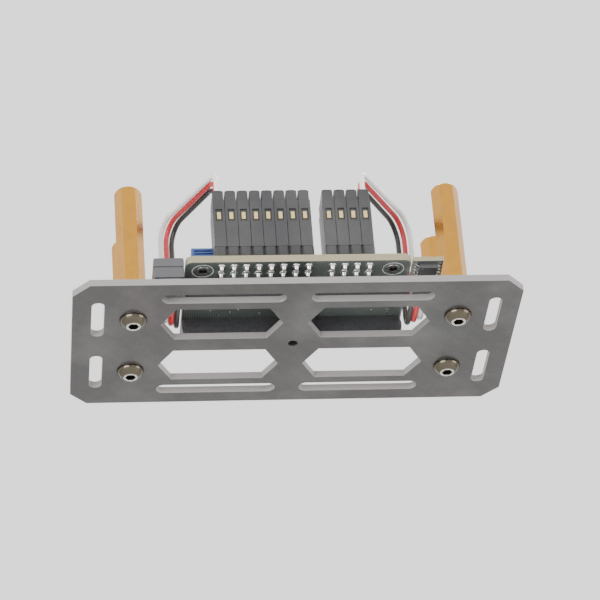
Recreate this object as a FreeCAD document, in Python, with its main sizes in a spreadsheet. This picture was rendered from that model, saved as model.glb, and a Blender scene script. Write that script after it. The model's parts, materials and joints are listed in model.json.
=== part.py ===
import FreeCAD, Part
import math
import os
import re
import Sketcher

# Flight controller board assembly of a multirotor, in millimetres, +Z up, +X to the right.
# A slotted carrier plate hangs under the craft on four hexagonal standoffs. The control board
# lies on gel strips on top of the plate, a receiver and a status module stand beside it, and
# two three-wire leads join them to the plugs on the board's pin headers.
# The origin is under the middle of the plate, level with the heads of the carrier screws.

SIZES = [
    ("plate_length", 92.0, "carrier plate, left to right"),
    ("plate_width", 46.0, "carrier plate, near to far"),
    ("plate_thick", 1.5, "carrier plate thickness"),
    ("corner_length", 3.5, "corner cut along the long side"),
    ("corner_width", 3.9, "corner cut along the short side"),
    ("window_length", 25.2, "pointed window, tip to tip"),
    ("window_width", 11.4, "pointed window, near to far"),
    ("window_point", 3.0, "length of a window's point"),
    ("window_across", 15.2, "window centre from the plate's middle, sideways"),
    ("window_along", 7.95, "window centre from the plate's middle, near to far"),
    ("long_slot_length", 25.2, "accessory slot, end to end"),
    ("long_slot_width", 3.2, "accessory slot width"),
    ("long_slot_across", 15.2, "accessory slot centre, sideways"),
    ("long_slot_along", 17.6, "accessory slot centre, near to far"),
    ("strap_slot_length", 12.6, "strap slot, end to end"),
    ("strap_slot_width", 2.6, "strap slot width"),
    ("strap_slot_across", 40.75, "strap slot centre, sideways"),
    ("strap_slot_along", 10.2, "strap slot centre, near to far"),
    ("pilot_hole", 2.0, "pilot hole in the plate's middle, diameter"),
    ("screw_across", 67.0, "screw spacing, left to right"),
    ("screw_along", 20.0, "screw spacing, near to far"),
    ("screw_thread", 3.0, "screw thread diameter"),
    ("screw_reach", 6.0, "thread inside the standoff"),
    ("thread_spare", 1.0, "threaded hole past the screw's end"),
    ("screw_play", 0.1, "play round the thread in the plate's hole"),
    ("thread_play", 0.05, "play round the thread in the standoff"),
    ("head_dia", 5.7, "button head diameter"),
    ("head_height", 1.65, "button head height"),
    ("head_rim", 0.3, "straight rim of the button head"),
    ("head_flat", 1.5, "radius of the flat on the button head"),
    ("key_flats", 2.0, "key socket across flats"),
    ("key_depth", 1.04, "key socket depth"),
    ("standoff_flats", 5.0, "standoff across flats"),
    ("standoff_length", 30.0, "standoff length"),
    ("standoff_turned", 0.4, "turned bevel at the standoff's ends"),
    ("tap_hole", 2.5, "tapped hole at the standoff's top, diameter"),
    ("tap_depth", 8.0, "tapped hole depth"),
    ("gel_thick", 4.0, "gel strip thickness"),
    ("gel_length", 46.0, "gel strip length"),
    ("gel_near_width", 1.6, "near gel strip width"),
    ("gel_middle_width", 4.0, "middle gel strip width"),
    ("gel_near_along", 8.15, "near gel strip's centre from the board's near edge"),
    ("gel_far_width", 4.0, "far gel block width"),
    ("gel_far_gap", 0.5, "gap between the middle strip and the far block"),
    ("gel_far_inset", 0.2, "far gel block inside the board's far edge"),
    ("board_length", 46.0, "control board, left to right"),
    ("board_width", 31.0, "control board, near to far"),
    ("board_thick", 1.6, "control board thickness"),
    ("board_round", 1.5, "corner radius of the control board"),
    ("board_middle", -7.2, "centre of the control board from the plate's centre, to the far side"),
    ("eyelet_side_inset", 3.5, "eyelets from the board's ends"),
    ("eyelet_inset", 3.2, "eyelets from the board's near and far edges"),
    ("eyelet_bore", 1.6, "eyelet bore"),
    ("eyelet_barrel", 2.0, "eyelet barrel diameter"),
    ("eyelet_flange", 3.0, "eyelet flange diameter"),
    ("eyelet_lip", 0.12, "eyelet flange thickness"),
    ("eyelet_play", 0.02, "play round the eyelet barrel"),
    ("pin_pitch", 2.54, "pin spacing of the headers"),
    ("pin_side", 0.64, "pin side"),
    ("pin_rise", 8.6, "pins above the board"),
    ("pin_tail", 1.1, "pins below the board"),
    ("pin_hole", 1.0, "pin hole in the board, diameter"),
    ("pin_play", 0.02, "play round a pin in its header"),
    ("base_height", 2.5, "header base height"),
    ("header_inset", 4.3, "middle row of pins from the board's near edge"),
    ("long_header_place", -6.85, "centre of the eight-way header"),
    ("short_header_place", 10.7, "centre of the four-way header"),
    ("plug_height", 14.0, "plug housing height"),
    ("plug_lift", 0.1, "plug housing above its header"),
    ("plug_trim", 0.1, "plug housing narrower than its header"),
    ("plug_hole", 0.9, "side of a pin hole in a plug"),
    ("plug_hole_depth", 6.8, "depth of a pin hole in a plug"),
    ("wire_dia", 1.1, "lead wire diameter"),
    ("wire_pitch", 1.2, "spacing of the wires under the board's side"),
    ("wire_low", 1.85, "wires above the carrier plate"),
    ("wire_top", 30.5, "height of the wires over the board"),
    ("module_length", 6.2, "side modules, left to right"),
    ("module_width", 9.3, "side modules, near to far"),
    ("module_gap", 0.4, "gap between a side module and the board"),
    ("module_inset", 0.4, "side modules behind the board's near edge"),
    ("module_pad", 0.8, "foam pad under a side module"),
    ("receiver_height", 4.8, "receiver case height"),
    ("receiver_round", 0.6, "receiver case edge radius"),
    ("status_plug_width", 3.2, "status module connector, near to far"),
    ("status_plug_height", 3.2, "status module connector height"),
    ("status_board_thick", 1.0, "status module board thickness"),
    ("wire_run", 11.0, "nearest wire's run beside the board"),
    ("wire_step", 1.0, "each further wire runs this much longer"),
    ("wire_turn_low", 3.0, "bend radius where a wire turns up"),
    ("wire_turn_high", 4.5, "bend radius where a wire turns over the board"),
    ("pad_edge", 0.3, "foam pad inside its module's edge"),
    ("status_chip_long", 3.8, "status chip, left to right"),
    ("status_chip_wide", 4.0, "status chip, near to far"),
    ("status_chip_high", 1.2, "status chip height"),
    ("status_chip_inset", 2.6, "status chip centre from the module's near edge"),
    ("status_leg_long", 0.9, "status chip leg length"),
    ("status_leg_step", 1.0, "status chip leg spacing"),
    ("status_leg_wide", 0.4, "status chip leg width"),
    ("lead_foot", 1.0, "chip lead length"),
    ("lead_width", 0.3, "processor lead width"),
    ("lead_step", 0.75, "processor lead spacing"),
    ("memory_lead_width", 0.4, "memory chip lead width"),
    ("memory_lead_step", 1.27, "memory chip lead spacing"),
    ("regulator_lead_width", 0.7, "regulator leg width"),
    ("regulator_lead_step", 2.3, "regulator leg spacing"),
    ("regulator_tab_width", 3.2, "regulator tab width"),
    ("regulator_tab_foot", 1.6, "regulator tab past the body"),
    ("tongue_side_gap", 1.6, "contact tongue from the shell's sides"),
    ("tongue_front_gap", 1.3, "contact tongue behind the shell's mouth"),
    ("tongue_thick", 0.6, "contact tongue thickness"),
    ("socket_pin_step", 1.2, "side socket pin spacing"),
    ("running_gap", 0.05, "gap under a moving piece at rest or fully pressed"),
    ("small_long", 1.0, "small two-ended piece, length"),
    ("small_wide", 0.5, "small two-ended piece, width"),
    ("cap_high", 0.5, "ceramic capacitor height"),
    ("resistor_high", 0.4, "resistor height"),
    ("small_gap", 0.7, "small pieces from the processor's leads"),
    ("cap_near_step", 2.1, "spacing of the near capacitors"),
    ("cap_right_step", 2.2, "spacing of the right capacitors"),
    ("resistor_step", 1.7, "spacing of the far resistors"),
    ("light_step", 2.2, "spacing of the status lights"),
    ("light_long", 1.6, "status light length"),
    ("light_wide", 0.8, "status light width"),
    ("light_high", 0.7, "status light height"),
    ("light_across", -16.6, "status lights from the plate's middle, sideways"),
    ("light_along", 19.2, "middle status light from the board's near edge"),
    ("light_resistor_gap", 2.4, "resistor beside its status light"),
    ("lead_thick", 0.2, "chip lead thickness"),
    ("chip_lift", 0.1, "chip body above the board"),
    ("crystal_round", 1.0, "crystal can corner radius"),
    ("usb_wall", 0.3, "socket shell wall"),
    ("socket_wall", 0.5, "side socket wall"),
    ("socket_pin", 0.35, "side socket pin side"),
    ("plunger_dia", 1.5, "push button plunger diameter"),
    ("plunger_play", 0.06, "play round a plunger"),
    ("plunger_rise", 0.5, "plunger above its switch"),
    ("plunger_travel", 0.25, "push button travel"),
    ("plunger_floor", 0.1, "switch floor thickness"),
    ("rotor_dia", 2.8, "trimmer rotor diameter"),
    ("rotor_play", 0.1, "play round a rotor"),
    ("rotor_depth", 0.8, "trimmer recess depth"),
    ("rotor_rise", 0.15, "rotor above its housing"),
    ("rotor_slot", 0.45, "screwdriver slot width"),
    ("rotor_slot_depth", 0.4, "screwdriver slot depth"),
    ("trim_step", 4.7, "trimmer spacing"),
    ("shunt_height", 6.0, "jumper shunt height"),
    ("shunt_hole", 0.84, "side of a pin hole in the shunt"),
    ("can_dia", 5.0, "capacitor can diameter"),
    ("can_height", 4.9, "capacitor can height"),
    ("can_round", 0.5, "capacitor can edge radius"),
]

# Pieces on the control board: centre across and along, then length, width and height.
# Across is measured from the plate's middle, and from the board's end for the side sockets.
# Along is measured from the board's near edge, and from its far edge for FAR_EDGE pieces.
ON_BOARD = {
    "processor": (-1.0, 16.2, 10.0, 10.0, 1.4),
    "motion_sensor": (9.2, 14.2, 4.0, 4.0, 0.9),
    "compass_chip": (9.2, 20.2, 3.0, 3.0, 0.9),
    "pressure_sensor": (-11.0, 24.3, 3.8, 3.6, 0.95),
    "memory_chip": (-11.0, 13.4, 5.0, 4.0, 1.5),
    "regulator": (15.2, 11.7, 6.5, 3.5, 1.6),
    "crystal": (-10.5, 19.7, 5.0, 3.2, 1.2),
    "usb_shell": (-1.0, 2.5, 7.5, 5.6, 2.6),
    "left_socket": (2.6, 19.7, 4.2, 6.0, 2.9),
    "right_socket": (2.6, 18.7, 4.2, 6.0, 2.9),
    "reset_switch": (-8.0, 2.4, 3.9, 3.0, 1.6),
    "boot_switch": (-14.0, 2.4, 3.9, 3.0, 1.6),
    "trim_body": (5.9, 3.3, 4.0, 4.0, 1.8),
    "jumper_base": (-18.6, 11.2, 5.08, 2.54, 2.5),
    "capacitor_base": (15.0, 18.2, 5.3, 5.3, 0.9),
    "tantalum_left": (-16.0, 24.6, 2.8, 3.5, 1.9),
    "tantalum_right": (13.2, 23.4, 3.5, 2.8, 1.9),
}

FAR_EDGE = ("usb_shell", "reset_switch", "boot_switch", "trim_body")
LEADS = ("white", "red", "black")
ROWS = 3
LONG_WAYS = 8
SHORT_WAYS = 4

PLATE_TOP = "(head_height + plate_thick)"
BOARD_BOTTOM = "(head_height + plate_thick + gel_thick)"
BOARD_TOP = "(head_height + plate_thick + gel_thick + board_thick)"
BOARD_NEAR = "(board_middle - board_width / 2)"
BOARD_FAR = "(board_middle + board_width / 2)"
CHIP_BOTTOM = BOARD_TOP + " + chip_lift"
HEADER_TOP = BOARD_TOP + " + base_height"
PLUG_BOTTOM = HEADER_TOP + " + plug_lift"
PAD_TOP = PLATE_TOP + " + module_pad"

doc = FreeCAD.newDocument("flight_controller")
sheet = doc.addObject("Spreadsheet::Sheet", "sizes")


def fill_sheet():
    """Write every driving dimension into its own named cell."""
    rows = list(SIZES)
    for piece, numbers in ON_BOARD.items():
        for word, number in zip(("across", "along", "long", "wide", "high"), numbers):
            rows.append((piece + "_" + word, number, piece.replace("_", " ") + " " + word))
    for row, (alias, number, words) in enumerate(rows, 1):
        sheet.set("A%d" % row, words)
        sheet.set("B%d" % row, str(number))
        sheet.setAlias("B%d" % row, alias)
    doc.recompute()


def bound(text):
    """Turn a formula of size names into one that reads them from the sheet."""
    return re.sub(r"\b([a-z]+_[a-z_]+)\b", r"sizes.\1", text)


def size(alias):
    return float(sheet.get(alias))


def place(piece, across, along, up):
    for axis, text in (("x", across), ("y", along), ("z", up)):
        piece.setExpression("Placement.Base." + axis, bound(text))
    return piece


def block(name, length, width, height, across, along, up):
    """Box with its middle at across, along and its underside at up."""
    piece = doc.addObject("Part::Box", name)
    piece.setExpression("Length", bound(length))
    piece.setExpression("Width", bound(width))
    piece.setExpression("Height", bound(height))
    return place(piece, f"{across} - ({length}) / 2", f"{along} - ({width}) / 2", up)


def disc(name, radius, height, across, along, up):
    piece = doc.addObject("Part::Cylinder", name)
    piece.setExpression("Radius", bound(radius))
    piece.setExpression("Height", bound(height))
    return place(piece, across, along, up)


def hexagon(name, flats, height, across, along, up):
    piece = doc.addObject("Part::Prism", name)
    piece.Polygon = 6
    piece.setExpression("Circumradius", bound(f"({flats}) / sqrt(3)"))
    piece.setExpression("Height", bound(height))
    return place(piece, across, along, up)


def group(name, pieces):
    """Separate solids that share one node."""
    compound = doc.addObject("Part::Compound", name)
    compound.Links = pieces
    return compound


def fused(name, pieces):
    union = doc.addObject("Part::MultiFuse", name)
    union.Shapes = pieces
    return union


def cut(name, solid, tools):
    """Take the tools away from the solid."""
    difference = doc.addObject("Part::Cut", name)
    difference.Base = solid
    difference.Tool = tools[0] if len(tools) == 1 else group(name + "_tools", tools)
    return difference


def rounded(name, solid, alias, wanted):
    """Round the straight edges of a solid that wanted() picks."""
    doc.recompute()
    piece = doc.addObject("Part::Fillet", name)
    piece.Base = solid
    radius = size(alias)
    edges = enumerate(solid.Shape.Edges, 1)
    piece.Edges = [(number, radius, radius) for number, edge in edges if wanted(edge)]
    return piece


def upright(edge):
    return abs(edge.tangentAt(edge.FirstParameter).z) > 0.9


def top_edge(edge):
    return edge.BoundBox.ZLength < 1e-6


def new_sketch(body, name, up):
    """Sketch on the body's own level plane, lifted to a height."""
    sketch = body.newObject("Sketcher::SketchObject", name)
    level = [plane for plane in body.Origin.OriginFeatures if plane.Role == "XY_Plane"][0]
    sketch.AttachmentSupport = (level, [""])
    sketch.MapMode = "FlatFace"
    sketch.setExpression("AttachmentOffset.Base.z", bound(up))
    return sketch


def fix_point(sketch, geometry, point, across, along):
    """Tie one point of the sketch to the sheet."""
    for kind, text in (("DistanceX", across), ("DistanceY", along)):
        number = sketch.addConstraint(Sketcher.Constraint(kind, -1, 1, geometry, point, 1.0))
        sketch.setExpression("Constraints[%d]" % number, bound(text))


def draw_outline(sketch, corners):
    """Closed outline of straight sides with every corner tied to the sheet."""
    count = len(corners)
    turn = 2 * math.pi / count
    starts = [FreeCAD.Vector(math.cos(turn * i), math.sin(turn * i), 0) for i in range(count)]
    sides = [
        sketch.addGeometry(Part.LineSegment(starts[i], starts[(i + 1) % count]), False)
        for i in range(count)
    ]
    for i in range(count):
        following = sides[(i + 1) % count]
        sketch.addConstraint(Sketcher.Constraint("Coincident", sides[i], 2, following, 1))
    for side, (across, along) in zip(sides, corners):
        fix_point(sketch, side, 1, across, along)


def draw_circle(sketch, across, along, radius):
    circle = Part.Circle(FreeCAD.Vector(0, 0, 0), FreeCAD.Vector(0, 0, 1), 1.0)
    number = sketch.addGeometry(circle, False)
    fix_point(sketch, number, 3, across, along)
    rule = sketch.addConstraint(Sketcher.Constraint("Radius", number, 1.0))
    sketch.setExpression("Constraints[%d]" % rule, bound(radius))


def pad_body(name, sketch_name, up, thick, corners):
    """Body with one straight-sided pad."""
    body = doc.addObject("PartDesign::Body", name)
    sketch = new_sketch(body, sketch_name, up)
    draw_outline(sketch, corners)
    pad = body.newObject("PartDesign::Pad", sketch_name + "_pad")
    pad.Profile = sketch
    pad.setExpression("Length", bound(thick))
    return body


def pocket(body, sketch, thick):
    """Cut the sketch upwards through the pad above it and check that something went."""
    doc.recompute()
    before = body.Shape.Volume
    hollow = body.newObject("PartDesign::Pocket", sketch.Name + "_pocket")
    hollow.Profile = sketch
    hollow.Reversed = True
    hollow.setExpression("Length", bound(thick))
    doc.recompute()
    if body.Shape.Volume >= before - 1e-6:
        raise RuntimeError(sketch.Name + " cuts nothing")


def quarters(across, along):
    """The same place in all four quarters of the plate."""
    return [
        (f"{side} * ({across})", f"{end} * ({along})")
        for side in (-1, 1)
        for end in (-1, 1)
    ]


def window_corners(across, along):
    """Corners of a pointed window, anticlockwise from its right tip."""
    tip = "window_length / 2"
    flat = "(window_length / 2 - window_point)"
    half = "window_width / 2"
    return [
        (f"{across} + {tip}", along),
        (f"{across} + {flat}", f"{along} + {half}"),
        (f"{across} - {flat}", f"{along} + {half}"),
        (f"{across} - {tip}", along),
        (f"{across} - {flat}", f"{along} - {half}"),
        (f"{across} + {flat}", f"{along} - {half}"),
    ]


def slot_box(across, along, length, width):
    """Straight part of a slot, as four corners."""
    return [
        (f"{across} + ({length}) / 2", f"{along} + ({width}) / 2"),
        (f"{across} - ({length}) / 2", f"{along} + ({width}) / 2"),
        (f"{across} - ({length}) / 2", f"{along} - ({width}) / 2"),
        (f"{across} + ({length}) / 2", f"{along} - ({width}) / 2"),
    ]


def carrier_plate():
    """Plate with cut corners, pointed windows, round-ended slots and drilled holes."""
    far = "plate_width / 2"
    end = "plate_length / 2"
    corners = [
        (end, f"{far} - corner_width"),
        (f"{end} - corner_length", far),
        (f"-{end} + corner_length", far),
        (f"-{end}", f"{far} - corner_width"),
        (f"-{end}", f"corner_width - {far}"),
        (f"-{end} + corner_length", f"-{far}"),
        (f"{end} - corner_length", f"-{far}"),
        (end, f"corner_width - {far}"),
    ]
    body = pad_body("carrier_plate", "plate_outline", "head_height", "plate_thick", corners)
    cuts = new_sketch(body, "plate_cuts", "head_height")
    for across, along in quarters("window_across", "window_along"):
        draw_outline(cuts, window_corners(across, along))
    long_run = "long_slot_length - long_slot_width"
    strap_run = "strap_slot_length - strap_slot_width"
    for across, along in quarters("long_slot_across", "long_slot_along"):
        draw_outline(cuts, slot_box(across, along, long_run, "long_slot_width"))
    for across, along in quarters("strap_slot_across", "strap_slot_along"):
        draw_outline(cuts, slot_box(across, along, "strap_slot_width", strap_run))
    for across, along in quarters("screw_across / 2", "screw_along / 2"):
        draw_circle(cuts, across, along, "screw_thread / 2 + screw_play")
    draw_circle(cuts, "0", "0", "pilot_hole / 2")
    pocket(body, cuts, "plate_thick")
    for side in (-1, 1):
        ends = new_sketch(body, "slot_ends_left" if side < 0 else "slot_ends_right", "head_height")
        for across, along in quarters("long_slot_across", "long_slot_along"):
            draw_circle(ends, f"{across} + {side} * ({long_run}) / 2", along, "long_slot_width / 2")
        for across, along in quarters("strap_slot_across", "strap_slot_along"):
            draw_circle(ends, across, f"{along} + {side} * ({strap_run}) / 2", "strap_slot_width / 2")
        pocket(body, ends, "plate_thick")
    return body


def carrier_screw(name, across, along):
    """Button head screw, head down, with a hexagonal key socket."""
    dome = "(head_height - head_rim)"
    centre = f"(((head_dia / 2) ^ 2 - head_flat ^ 2 + {dome} ^ 2) / (2 * {dome}))"
    ball = doc.addObject("Part::Sphere", name + "_ball")
    ball.setExpression("Radius", bound(f"sqrt(head_flat ^ 2 + {centre} ^ 2)"))
    place(ball, across, along, centre)
    drum = disc(name + "_drum", "head_dia / 2", "head_height", across, along, "0")
    head = doc.addObject("Part::Common", name + "_head")
    head.Base = ball
    head.Tool = drum
    reach = "plate_thick + screw_reach"
    shank = disc(name + "_shank", "screw_thread / 2", reach, across, along, "head_height")
    socket = hexagon(name + "_key", "key_flats", "key_depth", across, along, "0")
    return cut(name, fused(name + "_solid", [head, shank]), [socket])


def carrier_screws():
    spots = quarters("screw_across / 2", "screw_along / 2")
    screws = [carrier_screw("screw_%d" % i, *spot) for i, spot in enumerate(spots)]
    return group("carrier_screws", screws)


def turned_bar(name, across, along):
    """Hexagonal bar whose six corners are turned down at both ends."""
    bar = hexagon(name + "_bar", "standoff_flats", "standoff_length", across, along, PLATE_TOP)
    wide = "standoff_flats / sqrt(3)"
    narrow = "standoff_flats / 2"
    middle = disc(name + "_middle", wide, "standoff_length - 2 * standoff_turned", across, along,
                  PLATE_TOP + " + standoff_turned")
    ends = []
    for end, low, high, up in (
        ("lower", narrow, wide, PLATE_TOP),
        ("upper", wide, narrow, PLATE_TOP + " + standoff_length - standoff_turned"),
    ):
        cone = doc.addObject("Part::Cone", f"{name}_{end}_turning")
        cone.setExpression("Radius1", bound(low))
        cone.setExpression("Radius2", bound(high))
        cone.setExpression("Height", bound("standoff_turned"))
        ends.append(place(cone, across, along, up))
    turned = doc.addObject("Part::Common", name + "_turned")
    turned.Base = bar
    turned.Tool = fused(name + "_turning", [middle] + ends)
    return turned


def standoffs():
    """Four hexagonal posts with turned ends, tapped at both ends."""
    names = ("left_near", "left_far", "right_near", "right_far")
    posts = []
    for name, (across, along) in zip(names, quarters("screw_across / 2", "screw_along / 2")):
        label = "standoff_" + name
        post = turned_bar(label, across, along)
        lower = disc(label + "_lower", "screw_thread / 2 + thread_play", "screw_reach + thread_spare",
                     across, along, PLATE_TOP)
        upper = disc(label + "_upper", "tap_hole / 2", "tap_depth", across, along,
                     PLATE_TOP + " + standoff_length - tap_depth")
        posts.append(cut(label, post, [lower, upper]))
    return posts


def gel_strips():
    """Soft strips between the carrier plate and the control board."""
    near = block("gel_strip_near", "gel_length", "gel_near_width", "gel_thick",
                 "0", f"{BOARD_NEAR} + gel_near_along", PLATE_TOP)
    middle = block("gel_strip_middle", "gel_length", "gel_middle_width", "gel_thick",
                   "0", "0", PLATE_TOP)
    start = "(gel_middle_width / 2 + gel_far_gap)"
    end = f"({BOARD_FAR} - gel_far_inset)"
    far = block("gel_block_far", "gel_far_width", f"{end} - {start}", "gel_thick",
                "0", f"({start} + {end}) / 2", PLATE_TOP)
    return [near, middle, far]


def pin_spots():
    """Every pin of the two headers, then the two pins of the jumper."""
    spots = []
    for middle, ways in (("long_header_place", LONG_WAYS), ("short_header_place", SHORT_WAYS)):
        for way in range(ways):
            across = f"{middle} + {way - (ways - 1) / 2} * pin_pitch"
            for row in range(ROWS):
                spots.append((across, f"{BOARD_NEAR} + header_inset + {row - 1} * pin_pitch"))
    return spots


def jumper_spots():
    along = f"{BOARD_NEAR} + jumper_base_along"
    return [(f"jumper_base_across + {side} * pin_pitch / 2", along) for side in (-1, 1)]


def eyelet_spots():
    across = "(board_length / 2 - eyelet_side_inset)"
    rows = (f"{BOARD_NEAR} + eyelet_inset", f"{BOARD_FAR} - eyelet_inset")
    return [(f"{side} * {across}", along) for side in (-1, 1) for along in rows]


def circuit_board():
    """Board with rounded corners, eyelet holes and a hole for every pin."""
    end = "board_length / 2"
    corners = [(end, BOARD_FAR), (f"-{end}", BOARD_FAR), (f"-{end}", BOARD_NEAR), (end, BOARD_NEAR)]
    body = pad_body("circuit_board", "board_outline", BOARD_BOTTOM, "board_thick", corners)
    holes = new_sketch(body, "board_holes", BOARD_BOTTOM)
    for across, along in eyelet_spots():
        draw_circle(holes, across, along, "eyelet_barrel / 2 + eyelet_play")
    for across, along in pin_spots() + jumper_spots():
        draw_circle(holes, across, along, "pin_hole / 2")
    doc.recompute()
    pad = doc.getObject("board_outline_pad")
    rounding = body.newObject("PartDesign::Fillet", "board_rounding")
    edges = enumerate(pad.Shape.Edges, 1)
    rounding.Base = (pad, ["Edge%d" % number for number, edge in edges if upright(edge)])
    rounding.setExpression("Radius", bound("board_round"))
    pocket(body, holes, "board_thick")
    return body


def board_eyelets():
    """Rolled eyelets that line the board's four fixing holes."""
    rings = []
    for i, (across, along) in enumerate(eyelet_spots()):
        name = "eyelet_%d" % i
        low = BOARD_BOTTOM + " - eyelet_lip"
        tall = "board_thick + 2 * eyelet_lip"
        barrel = disc(name + "_barrel", "eyelet_barrel / 2", tall, across, along, low)
        under = disc(name + "_under", "eyelet_flange / 2", "eyelet_lip", across, along, low)
        over = disc(name + "_over", "eyelet_flange / 2", "eyelet_lip", across, along, BOARD_TOP)
        bore = disc(name + "_bore", "eyelet_bore / 2", tall, across, along, low)
        rings.append(cut(name, fused(name + "_solid", [barrel, under, over]), [bore]))
    return group("board_eyelets", rings)


def square_hole_tools(name, spots, side, height, up):
    return [
        block("%s_hole_%d" % (name, i), side, side, height, across, along, up)
        for i, (across, along) in enumerate(spots)
    ]


def header_base(name, middle, ways, spots):
    """Moulded base that holds one header's pins."""
    along = f"{BOARD_NEAR} + header_inset"
    solid = block(name + "_solid", f"{ways} * pin_pitch", f"{ROWS} * pin_pitch", "base_height",
                  middle, along, BOARD_TOP)
    side = "pin_side + 2 * pin_play"
    return cut(name, solid, square_hole_tools(name, spots, side, "base_height", BOARD_TOP))


def plug_housing(name, middle, ways, spots):
    """Crimp housing pushed down over one header's pins."""
    along = f"{BOARD_NEAR} + header_inset"
    solid = block(name + "_solid", f"{ways} * pin_pitch - plug_trim",
                  f"{ROWS} * pin_pitch - plug_trim", "plug_height", middle, along, PLUG_BOTTOM)
    return cut(name, solid, square_hole_tools(name, spots, "plug_hole", "plug_hole_depth", PLUG_BOTTOM))


def headers():
    spots = pin_spots()
    long_spots = spots[:ROWS * LONG_WAYS]
    short_spots = spots[ROWS * LONG_WAYS:]
    pins = [
        block("pin_%d" % i, "pin_side", "pin_side", "board_thick + pin_tail + pin_rise",
              across, along, BOARD_BOTTOM + " - pin_tail")
        for i, (across, along) in enumerate(spots + jumper_spots())
    ]
    return [
        header_base("long_header_base", "long_header_place", LONG_WAYS, long_spots),
        header_base("short_header_base", "short_header_place", SHORT_WAYS, short_spots),
        plug_housing("long_plug", "long_header_place", LONG_WAYS, long_spots),
        plug_housing("short_plug", "short_header_place", SHORT_WAYS, short_spots),
        group("header_pins", pins),
    ]


def tube(name, points, radii, diameter):
    """Round wire along straight runs joined by tangent arcs."""
    edges = []
    start = points[0]
    for before, corner, after, radius in zip(points, points[1:], points[2:], radii):
        inward = (before - corner).normalize()
        onward = (after - corner).normalize()
        half = inward.getAngle(onward) / 2
        reach = radius / math.tan(half)
        first = corner + inward * reach
        last = corner + onward * reach
        bisector = (inward + onward).normalize()
        crown = corner + bisector * (radius / math.sin(half) - radius)
        edges.append(Part.LineSegment(start, first).toShape())
        edges.append(Part.Arc(first, crown, last).toShape())
        start = last
    edges.append(Part.LineSegment(start, points[-1]).toShape())
    path = Part.Wire(edges)
    ring = Part.Circle(points[0], points[1] - points[0], diameter / 2).toShape()
    solid = path.makePipeShell([Part.Wire([ring])], True, False)
    exact = path.Length * math.pi * diameter ** 2 / 4
    if abs(solid.Volume - exact) > exact * 0.01:
        raise RuntimeError(name + " has the wrong volume")
    print(name, "bend radii", [round(radius, 2) for radius in radii])
    piece = doc.addObject("Part::Feature", name)
    piece.Shape = solid
    return piece


def lead(side_name, side, ways, header_place):
    """Three wires from a side module, under and round the board's side, up and over to a plug."""
    plate_top = size("head_height") + size("plate_thick")
    board_near = size("board_middle") - size("board_width") / 2
    low = plate_top + size("wire_low")
    plug_top = (plate_top + size("gel_thick") + size("board_thick") + size("base_height")
                + size("plug_lift") + size("plug_height"))
    module_far = board_near + size("module_inset") + size("module_width")
    innermost = size("board_length") / 2 + size("wire_pitch")
    plug_across = header_place + side * (ways - 1) / 2 * size("pin_pitch")
    wires = []
    for i, colour in enumerate(LEADS):
        across = side * (innermost + (ROWS - 1 - i) * size("wire_pitch"))
        along = module_far + size("wire_run") + i * size("wire_step")
        pin_along = board_near + size("header_inset") + (i - 1) * size("pin_pitch")
        points = [
            FreeCAD.Vector(across, module_far, low),
            FreeCAD.Vector(across, along, low),
            FreeCAD.Vector(across, along, size("wire_top")),
            FreeCAD.Vector(plug_across, pin_along, size("wire_top")),
            FreeCAD.Vector(plug_across, pin_along, plug_top),
        ]
        last = 0.45 * (size("wire_top") - plug_top)
        radii = (size("wire_turn_low"), size("wire_turn_high"), last)
        wires.append(tube(f"lead_{side_name}_{colour}", points, radii, size("wire_dia")))
    return wires


def receiver():
    """Receiver in a small rounded case on a foam pad, left of the board."""
    across = "(-board_length / 2 - module_gap - module_length / 2)"
    along = f"({BOARD_NEAR} + module_inset + module_width / 2)"
    pad = block("receiver_pad", "module_length - 2 * pad_edge", "module_width - 2 * pad_edge",
                "module_pad", across, along, PLATE_TOP)
    solid = block("receiver_solid", "module_length", "module_width", "receiver_height",
                  across, along, PAD_TOP)
    return [pad, rounded("receiver_case", solid, "receiver_round", upright)]


def status_module():
    """Small board on its connector, with a chip hanging under it, right of the board."""
    across = "(board_length / 2 + module_gap + module_length / 2)"
    near = f"({BOARD_NEAR} + module_inset)"
    far = f"({BOARD_NEAR} + module_inset + module_width)"
    level = PAD_TOP + " + status_plug_height"
    pad = block("status_pad", "module_length - 2 * pad_edge", "status_plug_width - 2 * pad_edge",
                "module_pad", across, f"{far} - status_plug_width / 2", PLATE_TOP)
    plug = block("status_plug", "module_length", "status_plug_width", "status_plug_height",
                 across, f"{far} - status_plug_width / 2", PAD_TOP)
    panel = block("status_board", "module_length", "module_width", "status_board_thick",
                  across, f"{near} + module_width / 2", level)
    chip = block("status_chip", "status_chip_long", "status_chip_wide", "status_chip_high",
                 across, f"{near} + status_chip_inset", level + " - status_chip_high - chip_lift")
    legs = [
        block("status_leg_%d_%d" % (side, i), "status_leg_long", "status_leg_wide", "lead_thick",
              f"{across} + {side} * (status_chip_long + status_leg_long) / 2",
              f"{near} + status_chip_inset + {i - 1.5} * status_leg_step",
              level + " - lead_thick")
        for side in (-1, 1)
        for i in range(4)
    ]
    return [pad, plug, panel, chip, group("status_chip_legs", legs)]


def board_along(name):
    """Where a piece on the board has its middle, near to far."""
    if name in FAR_EDGE:
        return f"({BOARD_FAR} - {name}_along)"
    return f"({BOARD_NEAR} + {name}_along)"


def on_board(name, label=None, up=CHIP_BOTTOM, across=None):
    """Plain block of one of the pieces on the board."""
    return block(label or name, name + "_long", name + "_wide", name + "_high",
                 across or name + "_across", board_along(name), up)


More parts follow.
